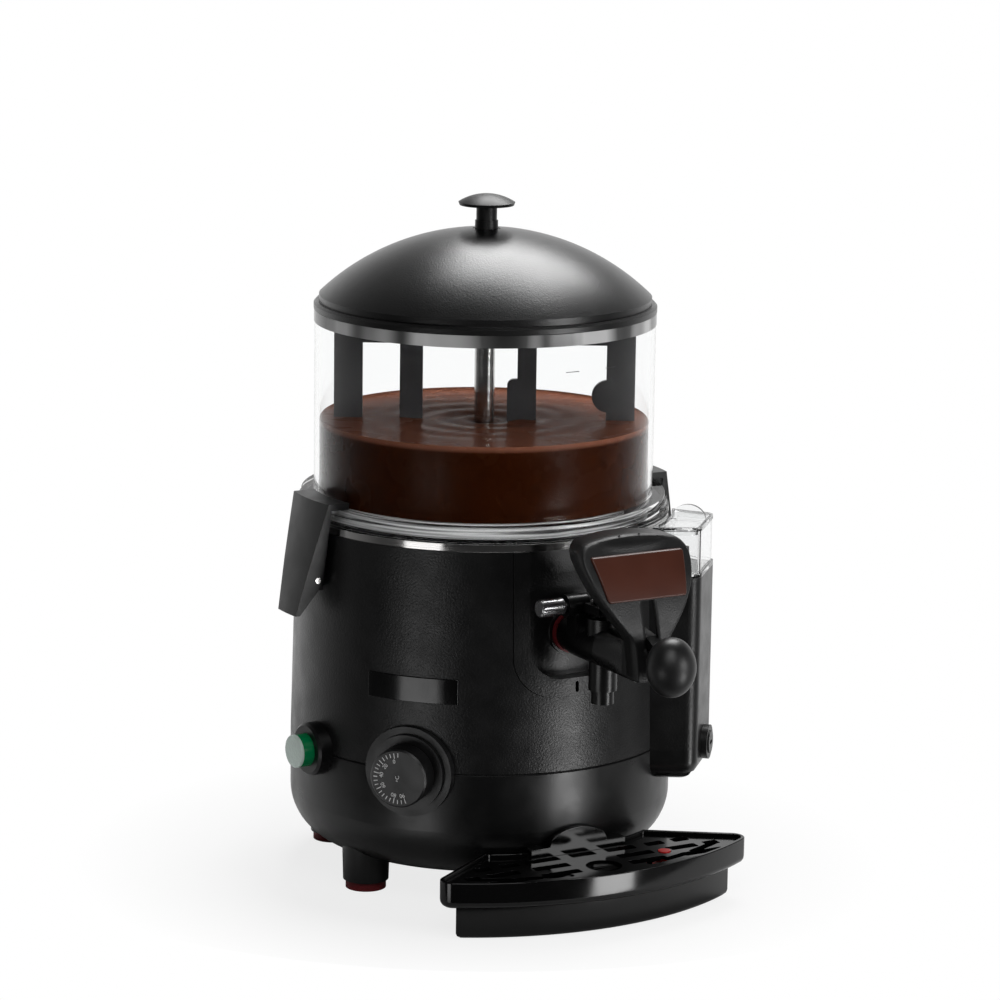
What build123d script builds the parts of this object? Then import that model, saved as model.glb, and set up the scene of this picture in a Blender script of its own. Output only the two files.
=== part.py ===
"""Hot chocolate dispenser in millimetres. Up is +Z, the tap points to -Y, the table is at Z = 0.

Places on the machine are given as forward (from the body's axis towards the tap), across (to +X)
and height, or as an angle round the body from the tap (to +X) with a reach out from the axis.
"""

import os
from math import asin, atan2, cos, degrees, radians, sin, sqrt, tan

from build123d import *

os.makedirs("parts", exist_ok=True)

# Clearances
RUN_GAP = 0.05
SLIDE_GAP = 0.5
FIT_GAP = 0.25
SWEEP_GAP = 1.0

# Shells
BASE_Z = 20.0
BASE_CORNER = 35.0
SEAM_Z = 95.0
SEAM_RADIUS = 131.0
SEAM_CHAMFER = 0.8
BODY_HEIGHT = 150.0
BODY_NARROWING = 3.5
SHELL_WALL = 3.0
LIP_WIDTH = 8.5
BODY_TOP_Z = SEAM_Z + BODY_HEIGHT
BODY_TOP_RADIUS = SEAM_RADIUS - BODY_NARROWING

# Feet and legs
FOOT_HEIGHT = 6.0
FOOT_DIAMETER = 27.5
LEG_FOOT_DIAMETER = 31.0
LEG_TOP_DIAMETER = 34.0
LEG_RISE = 40.0
FRONT_LEG_FORWARD = 26.0
FRONT_LEG_INSET = 29.0
REAR_LEG_SETBACK = 45.0
REAR_LEG_INSET = 61.0
LEG_TOP_Z = BASE_Z + LEG_RISE
FRONT_LEG_ACROSS = SEAM_RADIUS - FRONT_LEG_INSET
REAR_LEG_FORWARD = REAR_LEG_SETBACK - SEAM_RADIUS
REAR_LEG_ACROSS = SEAM_RADIUS - REAR_LEG_INSET

# Bottom cover
COVER_SETBACK = 18.0
COVER_LAP = 8.0
COVER_THICKNESS = 1.6
COVER_SCREW_COUNT = 4
COVER_SCREW_START = 45.0
COVER_SCREW_RADIUS = 1.5
COVER_SCREW_HEAD_RADIUS = 3.2
COVER_SCREW_HEAD_HEIGHT = 1.5
COVER_OPENING_RADIUS = SEAM_RADIUS - BASE_CORNER - COVER_SETBACK
COVER_RADIUS = COVER_OPENING_RADIUS + COVER_LAP
COVER_SCREW_REACH = COVER_OPENING_RADIUS + COVER_LAP / 2

# Pots, ring and gasket
RING_HEIGHT = 5.0
RING_SETBACK = 1.0
RING_WIDTH = 5.0
POT_SHEET = 1.5
FLANGE_SHEET = 1.2
BATH_GAP = 2.0
BATH_DEPTH = 85.0
BATH_SPACE = 7.0
POT_RISE = 18.0
GASKET_WIDTH = 7.0
RING_RADIUS = BODY_TOP_RADIUS - RING_SETBACK
RING_INNER = RING_RADIUS - RING_WIDTH
FLANGE_RADIUS = RING_INNER - SLIDE_GAP
BATH_RADIUS = BODY_TOP_RADIUS - SHELL_WALL - LIP_WIDTH - BATH_GAP
BATH_FLOOR_Z = BODY_TOP_Z - BATH_DEPTH
POT_RADIUS = BATH_RADIUS - BATH_SPACE
POT_INNER = POT_RADIUS - POT_SHEET
POT_FLOOR_Z = BATH_FLOOR_Z + POT_RISE
POT_INSIDE_Z = POT_FLOOR_Z + POT_SHEET

# Bowl
BOWL_HEIGHT = 135.0
BOWL_WALL = 3.0
BOWL_FLANGE_SETBACK = 0.5
BOWL_FLANGE_WIDTH = 11.3
BOWL_FLANGE_HEIGHT = 12.0
BOWL_FLANGE_STEP = 1.4
BOWL_FOOT_Z = BODY_TOP_Z + RING_HEIGHT
BOWL_TOP_Z = BOWL_FOOT_Z + BOWL_HEIGHT
BOWL_FLANGE_RADIUS = BODY_TOP_RADIUS - BOWL_FLANGE_SETBACK
BOWL_RADIUS = BOWL_FLANGE_RADIUS - BOWL_FLANGE_WIDTH
BOWL_INNER = BOWL_RADIUS - BOWL_WALL
FLANGE_TOP_Z = BOWL_FOOT_Z + BOWL_FLANGE_HEIGHT

# Lid with its knob
LID_OVERHANG = 0.6
LID_RIM_HEIGHT = 6.5
LID_RIM_WIDTH = 3.6
LID_DOME_FOOT = 11.0
LID_RISE = 56.0
LID_MID_INSET = 33.3
LID_MID_DROP = 20.5
LID_WALL = 2.5
LID_SKIRT_GAP = 3.2
LID_SKIRT_DROP = 7.3
LID_SEAT_RADIUS = 9.5
KNOB_RADIUS = 19.2
KNOB_CAP_HEIGHT = 8.5
KNOB_STEM_RADIUS = 7.0
KNOB_STEM_HEIGHT = 15.5
KNOB_GROOVE_HEIGHT = 6.0
KNOB_GROOVE_DEPTH = 0.8
KNOB_SCREW_RADIUS = 2.5
KNOB_SCREW_LENGTH = 14.0
KNOB_SCREW_HEAD_RADIUS = 4.5
KNOB_SCREW_HEAD_HEIGHT = 3.0
LID_RIM_RADIUS = BOWL_RADIUS + LID_OVERHANG
LID_DOME_RADIUS = LID_RIM_RADIUS - LID_RIM_WIDTH
LID_MID_RADIUS = LID_DOME_RADIUS - LID_MID_INSET
LID_MID_RISE = LID_RISE - LID_MID_DROP
LID_SKIRT_RADIUS = BOWL_INNER - LID_SKIRT_GAP
LID_TOP_Z = BOWL_TOP_Z + LID_RISE

# Heater and motor
HEATER_SETBACK = 16.0
HEATER_WIDTH = 24.0
HEATER_THICKNESS = 6.0
BRACKET_DROP = 10.0
BRACKET_SETBACK = 14.0
BRACKET_WIDTH = 50.0
BRACKET_SHEET = 2.0
GEARBOX_RADIUS = 23.0
GEARBOX_HEIGHT = 34.0
MOTOR_RADIUS = 19.0
MOTOR_HEIGHT = 42.0
MOTOR_SCREW_REACH = 17.0
MOTOR_SCREW_RADIUS = 1.6
MOTOR_SCREW_LENGTH = 10.0
MOTOR_SCREW_HEAD_RADIUS = 3.0
MOTOR_SCREW_HEAD_HEIGHT = 2.0
HEATER_RADIUS = BATH_RADIUS - HEATER_SETBACK
HEATER_INNER = HEATER_RADIUS - HEATER_WIDTH
BRACKET_LENGTH = 2 * (HEATER_INNER - BRACKET_SETBACK)

# Stirrer drive
COLUMN_RADIUS = 7.0
COLUMN_DROP = 24.0
COLUMN_COLLAR_RADIUS = 13.0
COLUMN_COLLAR_HEIGHT = 2.5
SHAFT_RADIUS = 5.0
SHAFT_ENGAGEMENT = 26.0
COLUMN_TOP_Z = BOWL_TOP_Z - COLUMN_DROP

# Stirrer, as it stands in the photograph
STIR_ANGLE = 60.4
STIR_HUB_RADIUS = 11.0
STIR_HUB_HEIGHT = 15.0
STIR_ARM_HEIGHT = 9.0
STIR_THICKNESS = 4.0
STIR_FLOOR_GAP = 6.0
BLADE_POT_GAP = 3.1
BLADE_OUTER_WIDTH = 19.5
BLADE_MIDDLE_REACH = 57.6
BLADE_MIDDLE_WIDTH = 15.6
BLADE_INNER_REACH = 35.2
BLADE_INNER_WIDTH = 19.8
BLADE_NECK_WIDTH = 12.9
BLADE_STEP_DROP = 23.0
BLADE_STEP_ROUND = 4.5
LOBE_DROP = 34.0
LOBE_RADIUS = 11.0
LOBE_INSET = 18.4
BLADE_OUTER_REACH = POT_INNER - BLADE_POT_GAP
BLADE_STEP_Z = COLUMN_TOP_Z - BLADE_STEP_DROP
LOBE_REACH = BLADE_OUTER_REACH - LOBE_INSET
LOBE_Z = COLUMN_TOP_Z - LOBE_DROP
BLADE_FOOT_Z = POT_INSIDE_Z + STIR_FLOOR_GAP

# Bezel around the tap
BEZEL_HALF_WIDTH = 44.0
BEZEL_HEIGHT = 99.0
BEZEL_CORNER = 28.0
BEZEL_BAND = 10.5
BEZEL_BAND_BOTTOM = 12.5
BEZEL_PROUD = 0.7
BEZEL_DEPTH = 8.0
BEZEL_WALL = 2.5
BEZEL_BOTTOM_Z = BODY_TOP_Z - BEZEL_HEIGHT
FLOOR_RADIUS = BODY_TOP_RADIUS - BEZEL_DEPTH

# Plate over the dial
PLATE_ANGLE = -50.0
PLATE_LENGTH = 64.0
PLATE_HEIGHT = 17.0
PLATE_RISE = 56.0
PLATE_THICKNESS = 0.8
PLATE_Z = SEAM_Z + PLATE_RISE

# Clips, from the middle of their pins
CLIP_ANGLE = 90.0
CLIP_TOP_HALF = 26.0
CLIP_LIP_HALF = 13.0
CLIP_LIP_DROP = 24.0
CLIP_LIP_LEAD = 15.5
CLIP_BEND_LEAD = 8.5
CLIP_BEND_RISE = 11.0
CLIP_TOP_PROUD = 7.0
CLIP_HOOK_CLEAR = 3.3
CLIP_HOOK_THICKNESS = 4.6
CLIP_HOOK_GAP = 0.3
CLIP_PLATE = 3.4
CLIP_CHEEK = 3.0
CLIP_CHEEK_SETBACK = 3.0
CLIP_CHEEK_DROP = 7.0
CLIP_PIN_PROUD = 3.5
CLIP_PIN_DROP = 31.0
CLIP_PIN_RADIUS = 2.0
BRACKET_EYE_RADIUS = 4.5
CLIP_PIN_REACH = SEAM_RADIUS + CLIP_PIN_PROUD
CLIP_PIN_Z = BODY_TOP_Z - CLIP_PIN_DROP
CLIP_LIP_REACH = CLIP_PIN_REACH + CLIP_LIP_LEAD
CLIP_LIP_Z = CLIP_PIN_Z - CLIP_LIP_DROP
CLIP_BEND_REACH = CLIP_PIN_REACH + CLIP_BEND_LEAD
CLIP_BEND_Z = CLIP_PIN_Z + CLIP_BEND_RISE
CLIP_CHEEK_REACH = CLIP_PIN_REACH - CLIP_CHEEK_SETBACK
CLIP_CHEEK_Z = CLIP_PIN_Z - CLIP_CHEEK_DROP
CLIP_TOP_REACH = BOWL_FLANGE_RADIUS + CLIP_TOP_PROUD
CLIP_HOOK_REACH = BOWL_RADIUS + CLIP_HOOK_CLEAR

# Thermostat dial
DIAL_ANGLE = -50.0
DIAL_RISE = 0.5
DIAL_COLLAR_RADIUS = 30.5
DIAL_COLLAR_PROUD = 2.5
DIAL_STEP_RADIUS = 25.5
DIAL_STEP_HEIGHT = 3.0
DIAL_BOSS_RADIUS = 15.0
DIAL_BOSS_DEPTH = 10.0
DIAL_KNOB_RADIUS = 19.8
DIAL_KNOB_LENGTH = 15.0
DIAL_KNOB_CHAMFER = 1.2
SPINDLE_RADIUS = 3.0
SPINDLE_GRIP = 10.0
THERMOSTAT_RADIUS = 17.0
THERMOSTAT_DEPTH = 28.0
BULB_RADIUS = 3.0
BULB_LENGTH = 28.0
DIAL_Z = SEAM_Z + DIAL_RISE
DIAL_COLLAR_FRONT = SEAM_RADIUS + DIAL_COLLAR_PROUD
DIAL_STEP_FRONT = DIAL_COLLAR_FRONT + DIAL_STEP_HEIGHT
DIAL_BOSS_BACK = SEAM_RADIUS - DIAL_BOSS_DEPTH
DIAL_KNOB_FRONT = DIAL_STEP_FRONT + SLIDE_GAP + DIAL_KNOB_LENGTH

# Lit switch
SWITCH_ANGLE = -86.0
SWITCH_RISE = 1.5
SWITCH_COLLAR_RADIUS = 18.0
SWITCH_COLLAR_PROUD = 9.0
SWITCH_BODY_RADIUS = 12.0
SWITCH_BODY_PROUD = 1.5
SWITCH_BODY_DEPTH = 26.0
BUTTON_RADIUS = 11.2
BUTTON_PROUD = 10.0
BUTTON_TRAVEL = 2.5
LENS_THICKNESS = 2.2
SWITCH_Z = SEAM_Z + SWITCH_RISE
SWITCH_COLLAR_FRONT = SEAM_RADIUS + SWITCH_COLLAR_PROUD
SWITCH_BODY_FRONT = SEAM_RADIUS + SWITCH_BODY_PROUD
BUTTON_FRONT = SWITCH_COLLAR_FRONT + BUTTON_PROUD

# Water box, its tank and drain
BOX_ANGLE = 47.0
BOX_PROUD = 26.0
BOX_OUTER_HALF = 27.0
BOX_DRAFT = 12.0
BOX_ROOT_DEPTH = 23.0
BOX_CORNER = 9.0
BOX_DROP = 22.0
BOX_BOTTOM_ROUND = 14.0
BOX_TOP_DROP = 30.5
BOX_WALL = 2.5
TANK_HEIGHT = 32.0
TANK_WALL = 2.0
TANK_STEP = 1.3
TANK_FOOT = 3.0
TANK_BODY_GAP = 1.2
TANK_LID_THICKNESS = 2.5
TANK_LID_LIP = 3.0
TANK_HANDLE_LENGTH = 24.0
TANK_HANDLE_RISE = 10.5
TANK_HANDLE_THICKNESS = 3.0
FILL_TUBE_RADIUS = 3.5
FILL_TUBE_BORE = 2.2
FILL_TUBE_HEIGHT = 17.0
FILL_TUBE_OFFSET = -14.0
DRAIN_FLANGE_RADIUS = 11.7
DRAIN_FLANGE_PROUD = 4.5
DRAIN_SPIGOT_RADIUS = 10.0
DRAIN_SPIGOT_LENGTH = 6.0
DRAIN_PLUG_RADIUS = 7.8
DRAIN_PLUG_PROUD = 1.0
DRAIN_PLUG_DEPTH = 5.0
DRAIN_SLOT_LENGTH = 7.0
DRAIN_SLOT_WIDTH = 2.5
DRAIN_SLOT_DEPTH = 2.0
BOX_REACH = SEAM_RADIUS + BOX_PROUD
BOX_ROOT = SEAM_RADIUS - BOX_ROOT_DEPTH
BOX_BOTTOM_Z = SEAM_Z - BOX_DROP
BOX_TOP_Z = BODY_TOP_Z - BOX_TOP_DROP
TANK_TOP_Z = BOX_TOP_Z + TANK_HEIGHT

# Cable gland
GLAND_ANGLE = 180.0
GLAND_DROP = 25.0
GLAND_RADIUS = 9.0
GLAND_SPIGOT_RADIUS = 6.5
GLAND_PROUD = 12.0
GLAND_INSIDE = 9.0
CORD_BORE = 3.6
GLAND_Z = SEAM_Z - GLAND_DROP

# Tap, from the pad in the bezel forwards and from the barrel's middle up and down
TAP_DROP = 57.0
PIPE_RADIUS = 9.0
PIPE_BORE = 7.5
PIPE_SOCKET = 10.0
PAD_RADIUS = 16.0
PAD_PROUD = 1.5
SEAL_RADIUS = 14.2
SEAL_THICKNESS = 3.0
TAP_ROOT_RADIUS = 13.0
TAP_ROOT_LENGTH = 10.0
TAP_RADIUS = 14.0
TAP_TAPER_LEAD = 9.0
NOSE_LEAD = 37.0
NOSE_LENGTH = 14.0
NOSE_HALF_WIDTH = 8.5
NOSE_DROP = 13.0
NOSE_RISE = 12.0
NOZZLE_LEAD = 39.0
NOZZLE_UPPER_RADIUS = 9.5
NOZZLE_LOWER_RADIUS = 7.6
NOZZLE_STEP_DROP = 30.0
NOZZLE_TIP_LENGTH = 9.0
NOZZLE_BORE = 5.2
SEAT_BORE = 6.0
SEAT_RISE = 7.0
CHAMBER_RADIUS = 9.0
CHAMBER_WALL = 3.0
CHAMBER_RISE = 15.0
CAP_THICKNESS = 3.5
STEM_RADIUS = 4.0
PLUG_LENGTH = 6.5
PLUG_FLANGE_RADIUS = 8.0
PLUG_FLANGE_THICKNESS = 1.5
CROSS_PIN_RADIUS = 2.0
CROSS_PIN_LENGTH = 19.0
STEM_HEADROOM = 4.0
SPRING_RADIUS = 6.3
SPRING_WIRE = 0.8
SPRING_TURNS = 5
SPRING_END_GAP = 0.2
PIN_SETBACK = 18.0
PIN_RISE = 24.0
PIN_RADIUS = 3.0
PIN_HEAD_RADIUS = 6.0
PIN_HEAD_START = 21.0
PIN_HEAD_LENGTH = 18.0
PIN_KNURLS = 20
BOSS_RADIUS = 7.5
BOSS_HALF_LENGTH = 19.5
BOSS_WEB_HALF = 6.0
LEVER_HALF_WIDTH = 4.0
LEVER_THICKNESS = 6.0
LEVER_HUB_RADIUS = 7.0
LEVER_EXIT_LEAD = 7.0
LEVER_EXIT_RISE = 15.5
PRONG_WIDTH = 3.0
PRONG_LENGTH = 18.0
PRONG_LIFT_GAP = 0.4
BALL_LEAD = 25.0
BALL_RISE = 3.5
BALL_HALF_WIDTH = 16.2
BALL_HALF_HEIGHT = 19.4
BALL_END_RADIUS = 14.4
BALL_STUB_LENGTH = 9.0
BALL_NECK_SINK = 2.0
TAP_Z = BODY_TOP_Z - TAP_DROP
PAD_FRONT = FLOOR_RADIUS + PAD_PROUD
SEAL_FRONT = PAD_FRONT + SEAL_THICKNESS
TAP_STEP_FORWARD = SEAL_FRONT + TAP_ROOT_LENGTH
NOZZLE_FORWARD = SEAL_FRONT + NOZZLE_LEAD
TAP_TAPER_FORWARD = NOZZLE_FORWARD + TAP_TAPER_LEAD
NOSE_BACK = NOZZLE_FORWARD + NOSE_LEAD
NOSE_FRONT = NOSE_BACK + NOSE_LENGTH
NOSE_BOTTOM_Z = TAP_Z - NOSE_DROP
NOSE_TOP_Z = TAP_Z + NOSE_RISE
NOZZLE_STEP_Z = TAP_Z - NOZZLE_STEP_DROP
NOZZLE_END_Z = NOZZLE_STEP_Z - NOZZLE_TIP_LENGTH
SEAT_Z = NOZZLE_STEP_Z + SEAT_RISE
CHAMBER_TOP_Z = TAP_Z + CHAMBER_RISE
PIN_FORWARD = NOZZLE_FORWARD - PIN_SETBACK
PIN_Z = TAP_Z + PIN_RISE
LEVER_EXIT_FORWARD = NOSE_FRONT + LEVER_EXIT_LEAD
LEVER_EXIT_Z = TAP_Z + LEVER_EXIT_RISE
BALL_FORWARD = LEVER_EXIT_FORWARD + BALL_LEAD
BALL_Z = TAP_Z + BALL_RISE

# Hood, from the middle of its face up and down
HOOD_FACE_RADIUS = 128.0
HOOD_MID_LEAD = 2.0
HOOD_MID_RISE = 41.0
HOOD_MID_TILT = 21.5
HOOD_DEPTH = 19.0
HOOD_WALL = 2.5
HOOD_TOP_RISE = 39.0
HOOD_SHOULDER_HALF = 40.0
HOOD_SHOULDER_RISE = 30.0
HOOD_WAIST_HALF = 33.5
HOOD_WAIST_RISE = 4.0
HOOD_TIP_HALF = 13.5
HOOD_TIP_DROP = 25.0
HOOD_CHIN_HALF = 11.5
HOOD_CHIN_DROP = 52.0
HOOD_SLOT_HALF = 4.8
HOOD_SLOT_DROP = 32.0
HOOD_SLOT_HEIGHT = 32.0
HOOD_LEDGE = 2.5
LABEL_TOP_HALF = 34.5
LABEL_BOTTOM_HALF = 29.0
LABEL_RISE = 0.5
LABEL_HEIGHT = 27.5
LABEL_THICKNESS = 1.2
HOOD_MID_FORWARD = NOSE_FRONT + HOOD_MID_LEAD
HOOD_MID_Z = TAP_Z + HOOD_MID_RISE
HOOD_TOP_Z = HOOD_MID_Z + HOOD_TOP_RISE
HOOD_SHOULDER_Z = HOOD_MID_Z + HOOD_SHOULDER_RISE
HOOD_WAIST_Z = HOOD_MID_Z + HOOD_WAIST_RISE
HOOD_TIP_Z = HOOD_MID_Z - HOOD_TIP_DROP
HOOD_CHIN_Z = HOOD_MID_Z - HOOD_CHIN_DROP
HOOD_SLOT_BOTTOM_Z = HOOD_MID_Z - HOOD_SLOT_DROP
HOOD_SLOT_TOP_Z = HOOD_SLOT_BOTTOM_Z + HOOD_SLOT_HEIGHT
LABEL_BOTTOM_Z = HOOD_MID_Z + LABEL_RISE
LABEL_TOP_Z = LABEL_BOTTOM_Z + LABEL_HEIGHT

# Drip tray
TRAY_BODY_GAP = 1.0
TRAY_DEPTH = 64.0
TRAY_FRONT_RADIUS = 218.0
TRAY_REAR_ACROSS = 62.0
TRAY_REAR_SLOPE = 0.68
TRAY_TIP_ROUND = 9.0
TRAY_RIM_Z = 42.0
TRAY_BAND_HEIGHT = 18.0
TRAY_WALL = 2.5
TRAY_BASIN_INSET = 10.0
TRAY_BASIN_Z = 1.0
BACK_BLOCK_HALF = 36.0
BACK_BLOCK_DEPTH = 4.0
BACK_BLOCK_RISE = 4.0
BACK_TAB_HALF = 22.0
BACK_TAB_RISE = 11.5
BACK_TAB_THICKNESS = 3.0
TONGUE_HALF = 30.0
TONGUE_OVERRUN = 22.0
TONGUE_Z = 6.0
TONGUE_THICKNESS = 5.0
GUIDE_WALL = 3.0
GUIDE_SETBACK = 8.0
GUIDE_LENGTH = 26.0
TRAY_REAR_RADIUS = SEAM_RADIUS + TRAY_BODY_GAP
TRAY_CENTRE_FORWARD = TRAY_REAR_RADIUS + TRAY_DEPTH - TRAY_FRONT_RADIUS
TRAY_BAND_Z = TRAY_RIM_Z - TRAY_BAND_HEIGHT
BLOCK_FRONT = TRAY_REAR_RADIUS + BACK_BLOCK_DEPTH
BACK_BLOCK_Z = TRAY_RIM_Z + BACK_BLOCK_RISE
GUIDE_FRONT = COVER_RADIUS - GUIDE_SETBACK
TONGUE_BACK = GUIDE_FRONT - TONGUE_OVERRUN

# Grille and float
GRILLE_SINK = 2.5
GRILLE_THICKNESS = 2.5
GRILLE_SKIRT = 2.0
SLOT_WIDTH = 8.0
SLOT_ROW_SETBACK = 8.8
SLOT_ROW_PITCH = 15.2
SLOT_ROUND = 1.5
CUP_HOLE_SETBACK = 37.0
CUP_HOLE_RADIUS = 12.0
FRONT_SLOT_SETBACK = 16.0
FRONT_SLOT_WIDTH = 6.0
FLOAT_SETBACK = 27.0
FLOAT_ACROSS = 53.0
FLOAT_STEM_RADIUS = 2.6
FLOAT_CAP_RADIUS = 4.2
FLOAT_CAP_HEIGHT = 1.6
FLOAT_CAP_SINK = 1.0
FLOAT_DISC_RADIUS = 8.0
FLOAT_DISC_HEIGHT = 6.0
FLOAT_TRAVEL = 6.0
GRILLE_Z = TRAY_RIM_Z - GRILLE_SINK
SLOT_ROW_FORWARD = TRAY_REAR_RADIUS + SLOT_ROW_SETBACK
CUP_HOLE_FORWARD = TRAY_REAR_RADIUS + CUP_HOLE_SETBACK
FRONT_SLOT_RADIUS = TRAY_FRONT_RADIUS - FRONT_SLOT_SETBACK
FLOAT_FORWARD = TRAY_REAR_RADIUS + FLOAT_SETBACK

# The frame's origin is under the middle of the machine's box, so the axis stands back of it.
FRONT_REACH = BALL_FORWARD + BALL_HALF_WIDTH
REAR_REACH = SEAM_RADIUS + GLAND_PROUD
AXIS_Y = (FRONT_REACH - REAR_REACH) / 2
AXIS = Axis((0, AXIS_Y, 0), (0, 0, 1))
BODY_TAPER = (SEAM_RADIUS - BODY_TOP_RADIUS) / (BODY_TOP_Z - SEAM_Z)
FAR = 400.0


def body_radius(z):
    """Outer radius of the upper shell at a height."""
    return SEAM_RADIUS - BODY_TAPER * (z - SEAM_Z)


def level(z):
    """Level plane on the axis: local x is across, local y is backwards."""
    return Plane(origin=(0, AXIS_Y, z))


def turned(angle=90.0):
    """Upright plane from the axis out at an angle: local x is reach, local y is height."""
    a = radians(angle)
    return Plane(origin=(0, AXIS_Y, 0), x_dir=(sin(a), -cos(a), 0), z_dir=(-cos(a), -sin(a), 0))


def facing(angle, reach, z):
    """Upright plane that looks out from the body: local x is to the right seen from the axis' front."""
    a = radians(angle)
    return Plane(
        origin=(reach * sin(a), AXIS_Y - reach * cos(a), z),
        x_dir=(cos(a), sin(a), 0),
        z_dir=(sin(a), -cos(a), 0),
    )


def side(across=0.0):
    """Upright plane along the tap: local x is forward, local y is height, its normal is -X."""
    return Plane(origin=(across, AXIS_Y, 0), x_dir=(0, -1, 0), z_dir=(-1, 0, 0))


def plan_at(angle, z):
    """Level plane on the axis, turned so that local -y runs out at an angle."""
    a = radians(angle)
    return Plane(origin=(0, AXIS_Y, z), x_dir=(cos(a), sin(a), 0), z_dir=(0, 0, 1))


def ring_face(*points):
    """A closed outline of straight lines as a face of the sketch in hand."""
    with BuildLine() as outline:
        Polyline(*points, close=True)
    make_face(outline.edges())


def save(piece, name):
    """Labels a finished piece and writes it."""
    piece.part.label = name
    export_step(piece.part, f"parts/{name}.step")


def body_core(inset=0.0):
    """Solid of the body's outer form, taken in by an inset, for cutting what sits against it."""
    corner = BASE_CORNER - inset
    radius = SEAM_RADIUS - inset
    floor = BASE_Z + inset
    with BuildPart() as core:
        with BuildSketch(turned()):
            with BuildLine():
                Line((0, floor), (radius - corner, floor))
                RadiusArc((radius - corner, floor), (radius, floor + corner), -corner)
                Line((radius, floor + corner), (radius, SEAM_Z))
                Line((radius, SEAM_Z), (BODY_TOP_RADIUS - inset, BODY_TOP_Z))
                Line((BODY_TOP_RADIUS - inset, BODY_TOP_Z), (0, BODY_TOP_Z))
                Line((0, BODY_TOP_Z), (0, floor))
            make_face()
        revolve(axis=AXIS)
    return core.part


def round_post(plane, radius, start, end):
    """Round bar on a plane's normal between two distances from the plane, in the part in hand."""
    with BuildSketch(plane.offset(start)) as profile:
        Circle(radius)
    extrude(profile.sketch, amount=end - start)


def round_hole(plane, radius, start, end):
    """Round hole on a plane's normal between two distances from the plane."""
    with BuildSketch(plane.offset(start)) as profile:
        Circle(radius)
    extrude(profile.sketch, amount=end - start, mode=Mode.SUBTRACT)


def front_edge(piece, plane):
    """The round edge of a piece that is farthest out along a plane's normal."""
    return piece.edges().filter_by(GeomType.CIRCLE).sort_by_distance(plane.offset(FAR).origin)[0]


CORE = body_core()
CAVITY = body_core(SHELL_WALL)

# Places that several pieces share
DIAL = facing(DIAL_ANGLE, 0, DIAL_Z)
SWITCH = facing(SWITCH_ANGLE, 0, SWITCH_Z)
DRAIN = facing(BOX_ANGLE, 0, SEAM_Z)
GLAND = facing(GLAND_ANGLE, 0, GLAND_Z)
TAP = facing(0, 0, TAP_Z)
LEGS = [
    (FRONT_LEG_ACROSS, -FRONT_LEG_FORWARD),
    (-FRONT_LEG_ACROSS, -FRONT_LEG_FORWARD),
    (REAR_LEG_ACROSS, -REAR_LEG_FORWARD),
    (-REAR_LEG_ACROSS, -REAR_LEG_FORWARD),
]


# Water box outline, which both shells, the tank and its lid share
def box_outline(sketch, inset):
    """Draws the outline of the water box, taken in by an inset."""
    outer = BOX_OUTER_HALF - inset
    inner = BOX_OUTER_HALF + (BOX_REACH - BOX_ROOT) * tan(radians(BOX_DRAFT)) - inset
    reach = BOX_REACH - inset
    ring_face((-inner, -BOX_ROOT), (-outer, -reach), (outer, -reach), (inner, -BOX_ROOT))
    fillet(sketch.vertices().sort_by(Axis.Y)[:2], BOX_CORNER - inset)


def box_block(inset, start, end, body_inset):
    """Block of the water box outside the body, taken in by an inset."""
    with BuildPart() as block:
        with BuildSketch(plan_at(BOX_ANGLE, start)) as outline:
            box_outline(outline, inset)
        extrude(amount=end - start)
        add(body_core(body_inset), mode=Mode.SUBTRACT)
    return block.part


# Lower shell with its legs and the foot of the water box
with BuildPart() as lower_box:
    add(box_block(0, BOX_BOTTOM_Z, SEAM_Z, SHELL_WALL / 2))
    fillet(
        lower_box.edges().filter_by(GeomType.LINE).filter_by_position(Axis.Z, BOX_BOTTOM_Z, BOX_BOTTOM_Z)
        .sort_by_distance(DRAIN.offset(BOX_REACH).origin)[:1],
        BOX_BOTTOM_ROUND,
    )
    add(box_block(BOX_WALL, BOX_BOTTOM_Z + BOX_WALL, SEAM_Z, 0), mode=Mode.SUBTRACT)

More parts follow.
